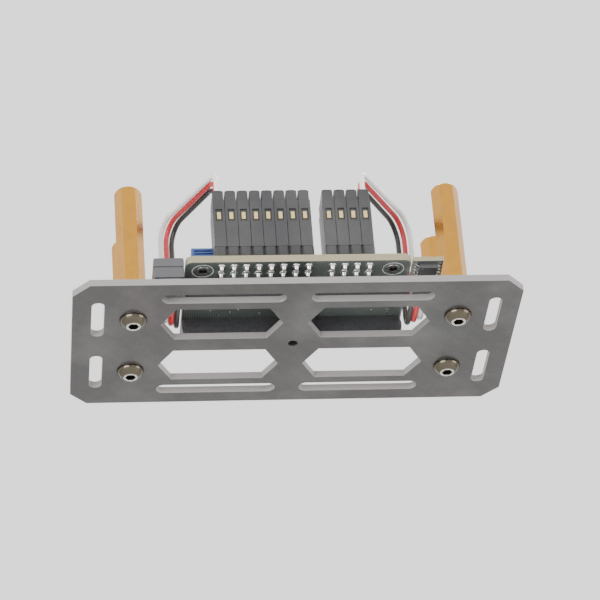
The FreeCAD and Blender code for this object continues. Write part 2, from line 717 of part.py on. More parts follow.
def processor():
    """Square processor with a row of leads on each side."""
    legs = []
    count = 12
    for side in (-1, 1):
        for i in range(count):
            shift = f"{i - (count - 1) / 2} * lead_step"
            edge = f"{side} * (processor_long / 2 + lead_foot / 2)"
            along = f"{BOARD_NEAR} + processor_along"
            legs.append(block("leg_x_%d_%d" % (side, i), "lead_foot", "lead_width", "lead_thick",
                              f"processor_across + {edge}", f"{along} + {shift}", BOARD_TOP))
            legs.append(block("leg_y_%d_%d" % (side, i), "lead_width", "lead_foot", "lead_thick",
                              f"processor_across + {shift}", f"{along} + {edge}", BOARD_TOP))
    return [on_board("processor"), group("processor_legs", legs)]


def memory():
    legs = [
        block("memory_leg_%d_%d" % (side, i), "memory_lead_width", "lead_foot", "lead_thick",
              f"memory_chip_across + {i - 1.5} * memory_lead_step",
              f"{BOARD_NEAR} + memory_chip_along + {side} * (memory_chip_wide / 2 + lead_foot / 2)",
              BOARD_TOP)
        for side in (-1, 1)
        for i in range(4)
    ]
    return [on_board("memory_chip"), group("memory_legs", legs)]


def regulator():
    """Voltage regulator with a cooling tab and three legs."""
    along = f"{BOARD_NEAR} + regulator_along"
    legs = [
        block("regulator_leg_%d" % i, "regulator_lead_width", "lead_foot", "lead_thick",
              f"regulator_across + {i} * regulator_lead_step",
              f"{along} - regulator_wide / 2 - lead_foot / 2", BOARD_TOP)
        for i in (-1, 0, 1)
    ]
    tab = block("regulator_tab", "regulator_tab_width", "regulator_tab_foot", "lead_thick",
                "regulator_across", f"{along} + (regulator_wide + regulator_tab_foot) / 2",
                BOARD_TOP)
    return [on_board("regulator"), group("regulator_legs", legs + [tab])]


def usb_socket():
    """Folded shell, open to the far side, round a contact tongue."""
    along = board_along("usb_shell")
    shell = block("usb_solid", "usb_shell_long", "usb_shell_wide", "usb_shell_high",
                  "usb_shell_across", along, BOARD_TOP)
    hollow = block("usb_hollow", "usb_shell_long - 2 * usb_wall", "usb_shell_wide",
                   "usb_shell_high - 2 * usb_wall", "usb_shell_across",
                   f"{along} + usb_wall", BOARD_TOP + " + usb_wall")
    tongue = block("usb_tongue", "usb_shell_long - 2 * tongue_side_gap",
                   "usb_shell_wide - usb_wall - tongue_front_gap", "tongue_thick",
                   "usb_shell_across", f"{along} + (usb_wall - tongue_front_gap) / 2",
                   BOARD_TOP + " + usb_shell_high / 2")
    return [cut("usb_shell", shell, [hollow]), tongue]


def side_sockets():
    """Four-way lead sockets that open past the board's left and right edges."""
    sockets = []
    pins = []
    for name, side in (("left_socket", -1), ("right_socket", 1)):
        across = f"{side} * (board_length / 2 - {name}_across)"
        solid = on_board(name, name + "_solid", BOARD_TOP, across)
        along = board_along(name)
        hollow = block(name + "_hollow", f"{name}_long", f"{name}_wide - 2 * socket_wall",
                       f"{name}_high - 2 * socket_wall",
                       f"{across} + {side} * 2 * socket_wall", along,
                       BOARD_TOP + " + socket_wall")
        sockets.append(cut(name, solid, [hollow]))
        for i in range(4):
            length = f"{name}_long - 3 * socket_wall"
            pins.append(block(f"{name}_pin_{i}", length, "socket_pin", "socket_pin",
                              f"{across} + {side} * socket_wall / 2",
                              f"{along} + {i - 1.5} * socket_pin_step",
                              f"{BOARD_TOP} + {name}_high / 2"))
    return sockets + [group("socket_pins", pins)]


def push_button(switch, plunger):
    """Tactile switch with a plunger that sinks into it."""
    across = switch + "_across"
    along = board_along(switch)
    solid = on_board(switch, switch + "_solid", BOARD_TOP)
    well = disc(switch + "_well", "plunger_dia / 2 + plunger_play", f"{switch}_high",
                across, along, BOARD_TOP + " + plunger_floor")
    gap = "(plunger_floor + plunger_travel + running_gap)"
    button = disc(plunger, "plunger_dia / 2", f"{switch}_high + plunger_rise - {gap}",
                  across, along, f"{BOARD_TOP} + {gap}")
    return [cut(switch, solid, [well]), button]


def trimmers():
    """Three trimmers in a row, each a housing with a slotted rotor."""
    housings = []
    rotors = []
    along = board_along("trim_body")
    for i, letter in enumerate("abc"):
        across = f"(trim_body_across + {i} * trim_step)"
        recess_floor = f"{BOARD_TOP} + trim_body_high - rotor_depth"
        solid = block("trim_solid_" + letter, "trim_body_long", "trim_body_wide",
                      "trim_body_high", across, along, BOARD_TOP)
        recess = disc("trim_recess_" + letter, "rotor_dia / 2 + rotor_play", "rotor_depth",
                      across, along, recess_floor)
        housings.append(cut("trim_housing_" + letter, solid, [recess]))
        rotor = disc("rotor_disc_" + letter, "rotor_dia / 2",
                     "rotor_depth + rotor_rise - running_gap", across, along,
                     recess_floor + " + running_gap")
        slot = block("rotor_slot_" + letter, "rotor_dia * 0.8", "rotor_slot", "rotor_slot_depth",
                     across, along,
                     f"{BOARD_TOP} + trim_body_high + rotor_rise - rotor_slot_depth")
        rotors.append(cut("trim_rotor_" + letter, rotor, [slot]))
    return [group("trim_housings", housings)] + rotors


def jumper():
    """Two-pin base with a pull-off shunt."""
    side = "pin_side + 2 * pin_play"
    base = on_board("jumper_base", "jumper_base_solid", BOARD_TOP)
    holes = square_hole_tools("jumper_base", jumper_spots(), side, "jumper_base_high", BOARD_TOP)
    low = BOARD_TOP + " + jumper_base_high + running_gap"
    shunt = block("jumper_shunt_solid", "jumper_base_long - plug_trim",
                  "jumper_base_wide - plug_trim",
                  "shunt_height", "jumper_base_across", f"{BOARD_NEAR} + jumper_base_along", low)
    wells = square_hole_tools("jumper_shunt", jumper_spots(), "shunt_hole", "shunt_height", low)
    return [cut("jumper_base", base, holes), cut("jumper_shunt", shunt, wells)]


def capacitors():
    """Can capacitor on its base and two moulded tantalum capacitors."""
    base = on_board("capacitor_base", up=BOARD_TOP)
    can = disc("can_solid", "can_dia / 2", "can_height", "capacitor_base_across",
               f"{BOARD_NEAR} + capacitor_base_along", BOARD_TOP + " + capacitor_base_high")
    doc.recompute()
    ceiling = can.Shape.BoundBox.ZMax
    rim = rounded("capacitor_can", can, "can_round",
                  lambda edge: top_edge(edge) and edge.BoundBox.ZMax > ceiling - 1e-6)
    pair = [on_board("tantalum_left", up=BOARD_TOP), on_board("tantalum_right", up=BOARD_TOP)]
    return [base, rim, group("tantalum_caps", pair)]


def small_row(name, count, step, turned, height, across, along, column):
    """Row or column of small two-ended pieces; a turned piece has its length near to far."""
    sides = ("small_wide", "small_long") if turned else ("small_long", "small_wide")
    pieces = []
    for i in range(count):
        shift = f"{i - (count - 1) / 2} * {step}"
        spot = (across, f"{along} + {shift}") if column else (f"{across} + {shift}", along)
        pieces.append(block("%s_%d" % (name, i), *sides, height, *spot, BOARD_TOP))
    return pieces


def small_pieces():
    """Ceramic capacitors, resistors and status lights."""
    middle = f"{BOARD_NEAR} + processor_along"
    outside = "(processor_long / 2 + lead_foot + small_gap)"
    light_along = f"{BOARD_NEAR} + light_along"
    caps = small_row("cap_near", 5, "cap_near_step", False, "cap_high",
                     "processor_across", f"{middle} - {outside}", False)
    caps += small_row("cap_right", 4, "cap_right_step", True, "cap_high",
                      f"processor_across + {outside}", middle, True)
    resistors = small_row("resistor_far", 6, "resistor_step", True, "resistor_high",
                          "processor_across", f"{middle} + {outside}", False)
    resistors += small_row("resistor_light", 3, "light_step", False, "resistor_high",
                           "light_across + light_resistor_gap", light_along, True)
    lights = [
        block("light_%d" % i, "light_long", "light_wide", "light_high", "light_across",
              f"{light_along} + {i} * light_step", BOARD_TOP)
        for i in (-1, 0, 1)
    ]
    return [
        group("ceramic_caps", caps),
        group("chip_resistors", resistors),
        group("status_lights", lights),
    ]


def build():
    fill_sheet()
    pieces = [carrier_plate(), carrier_screws()]
    pieces += standoffs() + gel_strips()
    pieces += [circuit_board(), board_eyelets()]
    pieces += headers()
    pieces += lead("left", -1, LONG_WAYS, size("long_header_place"))
    pieces += lead("right", 1, SHORT_WAYS, size("short_header_place"))
    pieces += receiver() + status_module()
    pieces += processor() + memory() + regulator()
    leadless = ("motion_sensor", "compass_chip", "pressure_sensor")
    pieces += [on_board(name, up=BOARD_TOP) for name in leadless]
    pieces += [rounded("crystal", on_board("crystal", "crystal_solid", BOARD_TOP),
                       "crystal_round", upright)]
    pieces += usb_socket() + side_sockets()
    pieces += push_button("reset_switch", "reset_plunger")
    pieces += push_button("boot_switch", "boot_plunger")
    pieces += trimmers() + jumper() + capacitors() + small_pieces()
    doc.recompute()
    return pieces


def write(pieces):
    """Refuse a failed object or a broken shape, then write one file for each node."""
    for item in doc.Objects:
        if "Invalid" in item.State or "Error" in item.State:
            raise RuntimeError(item.Name + " failed")
    for piece in pieces:
        if piece.Shape.isNull() or not piece.Shape.isValid():
            raise RuntimeError(piece.Name + " has no valid shape")
    os.makedirs("parts", exist_ok=True)
    for piece in pieces:
        piece.Label = piece.Name
        piece.Shape.exportStep("parts/" + piece.Name + ".step")
    print(len(pieces), "nodes")


write(build())
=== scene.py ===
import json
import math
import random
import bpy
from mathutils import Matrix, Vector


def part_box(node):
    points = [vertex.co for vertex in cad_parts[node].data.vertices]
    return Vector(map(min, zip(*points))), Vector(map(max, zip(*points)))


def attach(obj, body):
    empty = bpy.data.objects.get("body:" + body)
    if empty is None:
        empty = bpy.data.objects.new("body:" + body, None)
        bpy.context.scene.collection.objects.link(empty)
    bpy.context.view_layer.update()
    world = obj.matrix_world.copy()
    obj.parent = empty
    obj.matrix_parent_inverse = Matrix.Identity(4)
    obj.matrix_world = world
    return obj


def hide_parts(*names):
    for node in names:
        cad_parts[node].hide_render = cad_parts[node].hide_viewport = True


bl_info = {
    "name": "Flight Controller Board",
    "version": (1, 0, 0),
    "blender": (4, 5, 0),
    "location": "View3D > Sidebar > Board",
    "description": "Dresses the flight controller board assembly and its studio",
    "category": "Add Mesh",
}

import bmesh
import bpy
from mathutils import Matrix, Vector

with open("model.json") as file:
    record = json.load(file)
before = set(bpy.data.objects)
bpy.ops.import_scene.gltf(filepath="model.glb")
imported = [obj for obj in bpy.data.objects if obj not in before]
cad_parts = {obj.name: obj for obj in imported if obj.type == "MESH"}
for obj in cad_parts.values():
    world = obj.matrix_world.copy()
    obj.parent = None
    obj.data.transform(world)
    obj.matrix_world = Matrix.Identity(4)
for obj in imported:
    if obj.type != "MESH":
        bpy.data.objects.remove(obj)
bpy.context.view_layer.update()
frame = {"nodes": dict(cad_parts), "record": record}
COLOURS = {entry["slot"]: tuple(entry["base_color"][:3]) for entry in frame["record"]["materials"]}
ROOT = "carrier"
WIRES = ("white", "red", "black")

# Lengths are in metres unless a helper says millimetres.
MM = 0.001
INK = 0.02 * MM  # height of printed marks and shallow recesses
PIN_PITCH = 2.54 * MM
FLAT = 0.95  # a face is flat when its normal's Z is more than this, up or down


# Mesh helpers

def mm(x=0.0, y=0.0, z=0.0):
    """Offset given in millimetres."""
    return Vector((x, y, z)) * MM


def corners(node):
    """Lowest and highest corner of a frame node."""
    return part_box(node)


def middle(low, high):
    return (low + high) / 2


def at_height(point, height):
    return Vector((point.x, point.y, height))


def share_of(low, high, share):
    """Number that lies a share of the way from low to high."""
    return low + (high - low) * share


def absorb(target, part, material=0):
    """Add one finished mesh to another and give it a material number."""
    for face in part.faces:
        face.material_index = material
    spare = bpy.data.meshes.new("spare")
    part.to_mesh(spare)
    part.free()
    target.from_mesh(spare)
    bpy.data.meshes.remove(spare)


def soft_edges(part, edge, angle=25.0, segments=2):
    """Round every edge that turns more than an angle."""
    if edge <= 0:
        return
    sharp = [e for e in part.edges if e.is_manifold and e.calc_face_angle(0) > math.radians(angle)]
    bmesh.ops.bevel(part, geom=sharp, offset=edge, segments=segments, profile=0.5,
                    affect="EDGES", clamp_overlap=True)


def add_block(target, low, high, edge=0.0, material=0, taper=0.0, sink=0.0):
    """Block with rounded edges; taper draws the top in and sink the underside."""
    low, high = Vector(low), Vector(high)
    part = bmesh.new()
    bmesh.ops.create_cube(part, size=1.0)
    span = high - low
    centre = middle(low, high)
    for vert in part.verts:
        pull = taper if vert.co.z > 0 else sink
        vert.co.x = math.copysign(span.x / 2 - pull, vert.co.x) + centre.x
        vert.co.y = math.copysign(span.y / 2 - pull, vert.co.y) + centre.y
        vert.co.z = vert.co.z * span.z + centre.z
    soft_edges(part, edge)
    absorb(target, part, material)


def add_patch(target, spot, size, material, edge=0.0):
    """Low block that stands on a spot, its size in millimetres."""
    spot = Vector(spot)
    half = mm(size[0] / 2, size[1] / 2)
    add_block(target, spot - half, spot + half + mm(z=size[2]), edge, material)


def add_lathe(target, profile, centre, sides=32, material=0):
    """Turned piece: (radius, height) pairs swept round an upright axis through the centre."""
    part = bmesh.new()
    turn = 2 * math.pi / sides
    rings = []
    for radius, height in profile:
        count = sides if radius > 0 else 1
        rings.append([
            part.verts.new((radius * math.cos(turn * i), radius * math.sin(turn * i), height))
            for i in range(count)
        ])
    for lower, upper in zip(rings, rings[1:]):
        for i in range(sides):
            quad = [lower[i % len(lower)], lower[(i + 1) % len(lower)],
                    upper[(i + 1) % len(upper)], upper[i % len(upper)]]
            unique = list(dict.fromkeys(quad))
            if len(unique) > 2:
                part.faces.new(unique)
    bmesh.ops.recalc_face_normals(part, faces=part.faces)
    bmesh.ops.translate(part, verts=part.verts, vec=centre)
    absorb(target, part, material)


def join_rings(part, rings):
    """Close a stack of equal rings of points into one solid."""
    rows = [[part.verts.new(point) for point in ring] for ring in rings]
    count = len(rows[0])
    for lower, upper in zip(rows, rows[1:]):
        for i in range(count):
            after = (i + 1) % count
            part.faces.new((lower[i], lower[after], upper[after], upper[i]))
    part.faces.new(list(reversed(rows[0])))
    part.faces.new(rows[-1])


def add_strip(target, path, width, thick, across, material=0):
    """Bent metal strip: path points with a flat section, width along the across direction."""
    side = across.normalized() * width / 2
    rings = []
    for i, point in enumerate(path):
        before = path[max(i - 1, 0)]
        after = path[min(i + 1, len(path) - 1)]
        lift = side.cross(after - before).normalized() * thick / 2
        rings.append([point - side - lift, point + side - lift,
                      point + side + lift, point - side + lift])
    part = bmesh.new()
    join_rings(part, rings)
    bmesh.ops.recalc_face_normals(part, faces=part.faces)
    absorb(target, part, material)


def add_tab(target, root, out, steps, width, thick, material=0):
    """Bent tab on a wall. Steps give distance out and height over the root; all in millimetres."""
    root, out = Vector(root), Vector(out)
    path = [root + out * reach * MM + mm(z=level) for reach, level in steps]
    add_strip(target, path, width * MM, thick * MM, Vector((-out.y, out.x, 0)), material)


def raw_mesh(node):
    """Copy of a frame node's mesh with its doubled points merged."""
    part = bmesh.new()
    part.from_mesh(frame["nodes"][node].data)
    bmesh.ops.remove_doubles(part, verts=part.verts, dist=1e-7)
    return part


def node_mesh(node, edge=0.0, angle=25.0):
    """Clean copy of a frame node's mesh: flat faces whole, sharp edges rounded."""
    part = raw_mesh(node)
    bmesh.ops.dissolve_limit(part, angle_limit=math.radians(0.5), verts=part.verts,
                             edges=part.edges)
    soft_edges(part, edge, angle)
    return part


def solids_of(node):
    """Lowest and highest corner of each separate solid of a node, left to right."""
    part = raw_mesh(node)
    left = set(part.verts)
    found = []
    while left:
        grown = [left.pop()]
        for vert in grown:
            for link in vert.link_edges:
                other = link.other_vert(vert)
                if other in left:
                    left.remove(other)
                    grown.append(other)
        low = Vector([min(vert.co[i] for vert in grown) for i in range(3)])
        high = Vector([max(vert.co[i] for vert in grown) for i in range(3)])
        found.append((low, high))
    part.free()
    return sorted(found, key=lambda pair: (round(pair[0].x, 5), round(pair[0].y, 5)))


def centres_of(node):
    return [middle(*pair) for pair in solids_of(node)]


def nearest(spot, centres):
    """Distance to the nearest centre, seen from above."""
    return min((spot.xy - centre.xy).length for centre in centres)


def mark_walls(part):
    """First material on the flat faces, second on the walls."""
    for face in part.faces:
        face.material_index = 0 if abs(face.normal.z) > FLAT else 1


def finish_piece(name, part, materials, replaces=(), slot="", body=ROOT, angle=32.0):
    """Turn a mesh into a named piece. The slot argument is not used."""
    mesh = bpy.data.meshes.new(name)
    part.to_mesh(mesh)
    part.free()
    for material in materials:
        mesh.materials.append(material_of(material))
    mesh.shade_smooth()
    mesh.set_sharp_from_angle(angle=math.radians(angle))
    piece = bpy.data.objects.new(name, mesh)
    bpy.context.scene.collection.objects.link(piece)
    weigh = piece.modifiers.new("even_shading", "WEIGHTED_NORMAL")
    weigh.keep_sharp = True
    slot = slot or materials[0]
    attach(piece, body)
    if replaces:
        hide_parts(*replaces)
    return piece


def softened_node(node, edge, material, body=ROOT):
    """The frame node's own shape with rounded edges."""
    return finish_piece(node + "_softened", node_mesh(node, edge), (material,), (node,), body=body)


# Material helpers

class Graph:
    """Short way to add nodes to a tree and join them."""

    def __init__(self, tree):
        self.tree = tree

    def add(self, kind, settings=None, **inputs):
        node = self.tree.nodes.new(kind)
        for name, value in (settings or {}).items():
            setattr(node, name, value)
        for name, value in inputs.items():
            self.feed(node.inputs[name.replace("_", " ")], value)
        return node

    def feed(self, socket, value):
        if isinstance(value, bpy.types.NodeSocket):
            self.tree.links.new(value, socket)
        else:
            socket.default_value = value

    def math(self, operation, first, second=0.0, clamp=False):
        node = self.add("ShaderNodeMath", {"operation": operation, "use_clamp": clamp})
        self.feed(node.inputs[0], first)
        self.feed(node.inputs[1], second)
        return node.outputs[0]

    def times(self, first, second):
        return self.math("MULTIPLY", first, second)

    def plus(self, base, amount, factor, clamp=False):
        """Base plus a share of an amount."""
        return self.math("ADD", base, self.times(amount, factor), clamp)

    def swing(self, value, factor):
        """Value of 0 to 1 turned into a swing about zero."""
        return self.times(self.math("SUBTRACT", value, 0.5), factor)

    def mix(self, amount, first, second):
        node = self.add("ShaderNodeMix", {"data_type": "RGBA", "blend_type": "MIX"})
        self.feed(node.inputs[0], amount)
        self.feed(node.inputs[6], first)
        self.feed(node.inputs[7], second)
        return node.outputs[2]

    def lit(self, colour, factor):
        """Colour made lighter or darker by a factor."""
        node = self.add("ShaderNodeVectorMath", {"operation": "SCALE"})
        self.feed(node.inputs[0], colour)
        self.feed(node.inputs["Scale"], factor)
        return node.outputs[0]

    def ramp(self, amount, low, high):
        """Straight ramp from 0 at low to 1 at high."""
        node = self.add("ShaderNodeMapRange", None, From_Min=low, From_Max=high)
        self.feed(node.inputs["Value"], amount)
        return node.outputs["Result"]

    def place(self, scale=(1.0, 1.0, 1.0), turn=0.0):
        """Position on the piece, in metres, stretched by a scale and turned about Z."""
        spot = self.add("ShaderNodeTexCoord").outputs["Object"]
        return self.add("ShaderNodeMapping", None, Vector=spot, Scale=scale,
                        Rotation=(0.0, 0.0, turn)).outputs["Vector"]

    def noise(self, spot, scale, detail=3.0, roughness=0.55):
        return self.add("ShaderNodeTexNoise", None, Vector=spot, Scale=scale, Detail=detail,
                        Roughness=roughness).outputs["Fac"]

    def axis(self, spot, name):
        return self.add("ShaderNodeSeparateXYZ", None, Vector=spot).outputs[name]


def opaque(colour):
    return (*colour[:3], 1.0)


def shade(colour, factor):
    return tuple(min(channel * factor, 1.0) for channel in colour[:3])


NUMBER = "NodeSocketFloat"
COLOUR = "NodeSocketColor"
GREY = (0.1, 0.1, 0.1, 1.0)
SKIN_OUTPUTS = (("Colour", COLOUR), ("Roughness Shift", NUMBER), ("Height", NUMBER))


def new_group(name, inputs, outputs):
    """Empty node group with named inputs (name, kind, default) and outputs (name, kind)."""
    tree = bpy.data.node_groups.new(name, "ShaderNodeTree")
    for label, kind, default in inputs:
        socket = tree.interface.new_socket(label, in_out="INPUT", socket_type=kind)
        socket.default_value = default
    for label, kind in outputs:
        tree.interface.new_socket(label, in_out="OUTPUT", socket_type=kind)
    graph = Graph(tree)
    return graph, graph.add("NodeGroupInput").outputs, graph.add("NodeGroupOutput").inputs


def moulded_skin():
    """Fine texture of moulded plastic with faint patches and handling marks."""
    graph, entry, leave = new_group(
        "Moulded skin",
        [("Colour", COLOUR, GREY), ("Grain", NUMBER, 9000.0), ("Patches", NUMBER, 0.12)],
        SKIN_OUTPUTS,
    )
    spot = graph.place()
    patches = graph.noise(spot, 260.0, 4.0)
    marks = graph.noise(graph.place((1.0, 0.15, 1.0)), 2600.0, 5.0, 0.7)
    worn = graph.ramp(marks, 0.62, 0.72)
    uneven = graph.plus(graph.swing(patches, entry["Patches"]), worn, 0.10)
    graph.feed(leave["Colour"], graph.lit(entry["Colour"], graph.math("ADD", 1.0, uneven)))
    shift = graph.math("SUBTRACT", graph.swing(patches, 0.18), graph.times(worn, 0.05))
    graph.feed(leave["Roughness Shift"], shift)
    graph.feed(leave["Height"], graph.noise(spot, entry["Grain"], 2.0))
    return graph.tree


def metal_skin():
    """Drawn or turned metal: fine streaks along one direction and dull patches."""
    graph, entry, leave = new_group(
        "Metal skin",
        [("Colour", COLOUR, GREY), ("Dulling", NUMBER, 0.3), ("Streaks", NUMBER, 1.0)],
        SKIN_OUTPUTS,
    )
    streaks = graph.noise(graph.place((1.0, 1.0, 0.03)), 5200.0, 3.0)
    patches = graph.noise(graph.place(), 420.0, 4.0, 0.65)
    dull = graph.times(graph.ramp(patches, 0.45, 0.75), entry["Dulling"])
    tarnish = (0.10, 0.085, 0.06, 1.0)
    graph.feed(leave["Colour"], graph.mix(dull, entry["Colour"], tarnish))
    graph.feed(leave["Roughness Shift"], graph.plus(graph.swing(streaks, 0.16), dull, 0.25))
    graph.feed(leave["Height"], graph.times(streaks, entry["Streaks"]))
    return graph.tree


def woven_cloth():
    """Twill of glass and carbon tows seen through clear resin."""
    graph, entry, leave = new_group(
        "Woven cloth",
        [("Pitch", NUMBER, 0.0011)],
        [("Warp Over", NUMBER), ("Sheen", NUMBER), ("Height", NUMBER)],
    )
    spot = graph.place()
    warp = graph.math("DIVIDE", graph.axis(spot, "X"), entry["Pitch"])
    weft = graph.math("DIVIDE", graph.axis(spot, "Y"), entry["Pitch"])
    steps = graph.math("SUBTRACT", graph.math("FLOOR", warp), graph.math("FLOOR", weft))
    over = graph.math("FLOOR", graph.times(graph.math("FLOORED_MODULO", steps, 4.0), 0.5))
    under = graph.math("SUBTRACT", 1.0, over)

    def woven(along, across):
        return graph.math("ADD", graph.times(over, along), graph.times(under, across))

    def rounded(tow):
        return graph.math("ABSOLUTE", graph.math("SINE", graph.times(tow, math.pi)))

    def fibres(stretch):
        return graph.noise(graph.place(stretch), 9000.0, 2.0)

    graph.feed(leave["Warp Over"], over)
    graph.feed(leave["Sheen"], woven(fibres((1.0, 0.04, 1.0)), fibres((0.04, 1.0, 1.0))))
    graph.feed(leave["Height"], woven(rounded(warp), rounded(weft)))
    return graph.tree


def fine_dust():
    """Specks and a thin film of dust."""
    graph, entry, leave = new_group(
        "Fine dust",
        [("Colour", COLOUR, GREY), ("Amount", NUMBER, 0.3)],
        [("Colour", COLOUR), ("Mask", NUMBER)],
    )
    place = graph.place()
    specks = graph.add("ShaderNodeTexVoronoi", None, Vector=place, Scale=900.0)
    near = graph.ramp(specks.outputs["Distance"], 0.10, 0.04)
    chosen = graph.times(near, graph.ramp(graph.noise(place, 300.0), 0.55, 0.62))
    film = graph.times(graph.ramp(graph.noise(place, 60.0, 5.0), 0.45, 0.8), 0.35)
    mask = graph.math("MULTIPLY", graph.math("MAXIMUM", chosen, film), entry["Amount"], clamp=True)
    graph.feed(leave["Colour"], graph.mix(mask, entry["Colour"], (0.45, 0.43, 0.40, 1.0)))
    graph.feed(leave["Mask"], mask)
    return graph.tree


EFFECTS = {"moulded": moulded_skin, "metal": metal_skin, "cloth": woven_cloth, "dust": fine_dust}
GROUPS = {}


def group(graph, name, **inputs):
    """Place a shared effect in a material; each effect is built once."""
    if name not in GROUPS:
        GROUPS[name] = EFFECTS[name]()
    return graph.add("ShaderNodeGroup", {"node_tree": GROUPS[name]}, **inputs).outputs


def new_material(name, **constants):
    """Material with its Principled shader, whose constant sockets are set here."""
    material = bpy.data.materials.new(name)
    material.use_nodes = True
    shader = material.node_tree.nodes["Principled BSDF"]
    for label, value in constants.items():
        shader.inputs[label.replace("_", " ")].default_value = value
    return material, Graph(material.node_tree), shader.inputs


def dress(graph, sockets, colour, base, shift, height, depth):
    """Join colour, roughness (a base and a shift) and bump (height and depth) to the shader."""
    graph.feed(sockets["Base Color"], colour)
    graph.feed(sockets["Roughness"], graph.math("ADD", base, shift, clamp=True))
    node = graph.add("ShaderNodeBump", None, Height=height, Distance=depth, Strength=1.0)
    graph.feed(sockets["Normal"], node.outputs["Normal"])


def moulded(name, colour, base, coat=0.0, grain=9000.0, depth=0.000006):
    """Moulded plastic, epoxy or ceramic."""
    material, graph, sockets = new_material(name, Coat_Weight=coat, Coat_Roughness=0.12)
    skin = group(graph, "moulded", Colour=opaque(colour), Grain=grain, Patches=0.14)
    film = group(graph, "dust", Colour=skin["Colour"], Amount=0.25)
    shift = graph.plus(skin["Roughness Shift"], film["Mask"], 0.3)
    dress(graph, sockets, film["Colour"], base, shift, skin["Height"], depth)
    return material


def metal(name, colour, base, dulling, streaks):
    """Plated, drawn or turned metal."""
    material, graph, sockets = new_material(name, Metallic=1.0)
    skin = group(graph, "metal", Colour=opaque(colour), Dulling=dulling, Streaks=streaks)
    depth = 0.003 * MM
    dress(graph, sockets, skin["Colour"], base, skin["Roughness Shift"], skin["Height"], depth)
    return material


def laminate_face(name, colour):
    """Glossy face of the carrier plate: cloth under clear resin, with hairline scratches."""
    material, graph, sockets = new_material(name, Specular_IOR_Level=0.2, Coat_Roughness=0.05)
    cloth = group(graph, "cloth", Pitch=looks().cloth_pitch)
    warm = opaque((colour[0] * 1.45, colour[1] * 1.05, colour[2] * 1.05))
    cool = opaque((colour[0] * 0.70, colour[1] * 0.98, colour[2] * 0.85))
    tint = graph.mix(graph.noise(graph.place(), 45.0, 3.0), warm, cool)
    lift = graph.math("ADD", graph.times(cloth["Warp Over"], 0.10), graph.swing(cloth["Sheen"], 0.9))
    lit = graph.lit(tint, graph.math("ADD", 1.0, lift))
    film = group(graph, "dust", Colour=lit, Amount=0.35)
    smears = graph.noise(graph.place((1.0, 0.45, 1.0)), 110.0, 4.0, 0.6)
    graph.feed(sockets["Coat Weight"], graph.plus(0.32, smears, 0.45))
    scratches = graph.noise(graph.place((1.0, 0.02, 1.0)), 2400.0, 2.0, 0.4)
    lines = graph.ramp(scratches, 0.70, 0.78)
    height = graph.math("SUBTRACT", graph.times(cloth["Height"], 0.6), graph.times(lines, 0.3))
    dress(graph, sockets, film["Colour"], 0.30, graph.times(lines, 0.25), height, 0.006 * MM)
    return material


def laminate_cut(name, colour):
    """Cut wall of the plate: pale, dull, with its plies showing as lines."""
    material, graph, sockets = new_material(name)
    ply = 0.19 * MM
    depth = graph.axis(graph.place(), "Z")
    plies = graph.math("SINE", graph.times(depth, 2 * math.pi / ply))
    chatter = graph.noise(graph.place((1.0, 1.0, 0.05)), 7000.0, 3.0)
    fuzz = graph.noise(graph.place(), 5200.0, 4.0)
    light = graph.plus(graph.times(plies, 0.10), fuzz, 0.35)
    amount = graph.math("ADD", light, 0.25, clamp=True)
    dark, pale = opaque(shade(colour, 6.0)), opaque(shade(colour, 16.0))
    height = graph.plus(chatter, plies, 0.3)
    dress(graph, sockets, graph.mix(amount, dark, pale), 0.38, graph.times(fuzz, 0.3), height,
          0.01 * MM)
    return material


def trace_lanes(graph, turn, width, height, layout):
    """Parallel copper traces, broken into runs like courses of brick."""
    black, white = (0, 0, 0, 1), (1, 1, 1, 1)
    return graph.add("ShaderNodeTexBrick", layout, Vector=graph.place(turn=turn), Scale=100.0,
                     Mortar_Size=0.009, Brick_Width=width, Row_Height=height,
                     Color1=black, Color2=black, Mortar=white).outputs["Color"]


def solder_mask(name, colour):
    """Board face: traces under a glossy mask, with copper pours a shade lighter."""
    material, graph, sockets = new_material(name, Coat_Weight=0.8, Coat_Roughness=0.10)
    place = graph.place()
    lanes = trace_lanes(graph, 0.0, 0.9, 0.045, {"offset": 0.5, "offset_frequency": 3,
                                                 "squash": 1.6, "squash_frequency": 4})
    columns = trace_lanes(graph, math.pi / 2, 0.75, 0.05, {"offset": 0.5, "offset_frequency": 2})
    region = graph.ramp(graph.noise(place, 110.0, 1.0), 0.49, 0.51)
    traces = graph.mix(region, lanes, columns)
    pour = graph.ramp(graph.noise(place, 70.0, 0.0), 0.53, 0.535)
    copper = graph.math("MAXIMUM", traces, graph.times(pour, 0.75), clamp=True)
    tint = graph.mix(copper, opaque(shade(colour, 0.85)), opaque(shade(colour, 1.7)))
    skin = group(graph, "moulded", Colour=tint, Grain=3000.0, Patches=0.2)
    film = group(graph, "dust", Colour=skin["Colour"], Amount=0.3)
    height = graph.plus(copper, skin["Height"], 0.2)
    dress(graph, sockets, film["Colour"], 0.32, skin["Roughness Shift"], height, 0.02 * MM)
    return material


def mottled(name, colour, pale, stretch, scale, swing, depth):
    """Dull surface between two colours: routed glass fibre, or uneven ink."""
    material, graph, sockets = new_material(name)
    fibres = graph.noise(graph.place((1.0, 1.0, stretch)), scale, 4.0)
    tint = graph.mix(fibres, opaque(colour), opaque(pale))
    dress(graph, sockets, tint, 0.45, graph.times(fibres, swing), fibres, depth)
    return material


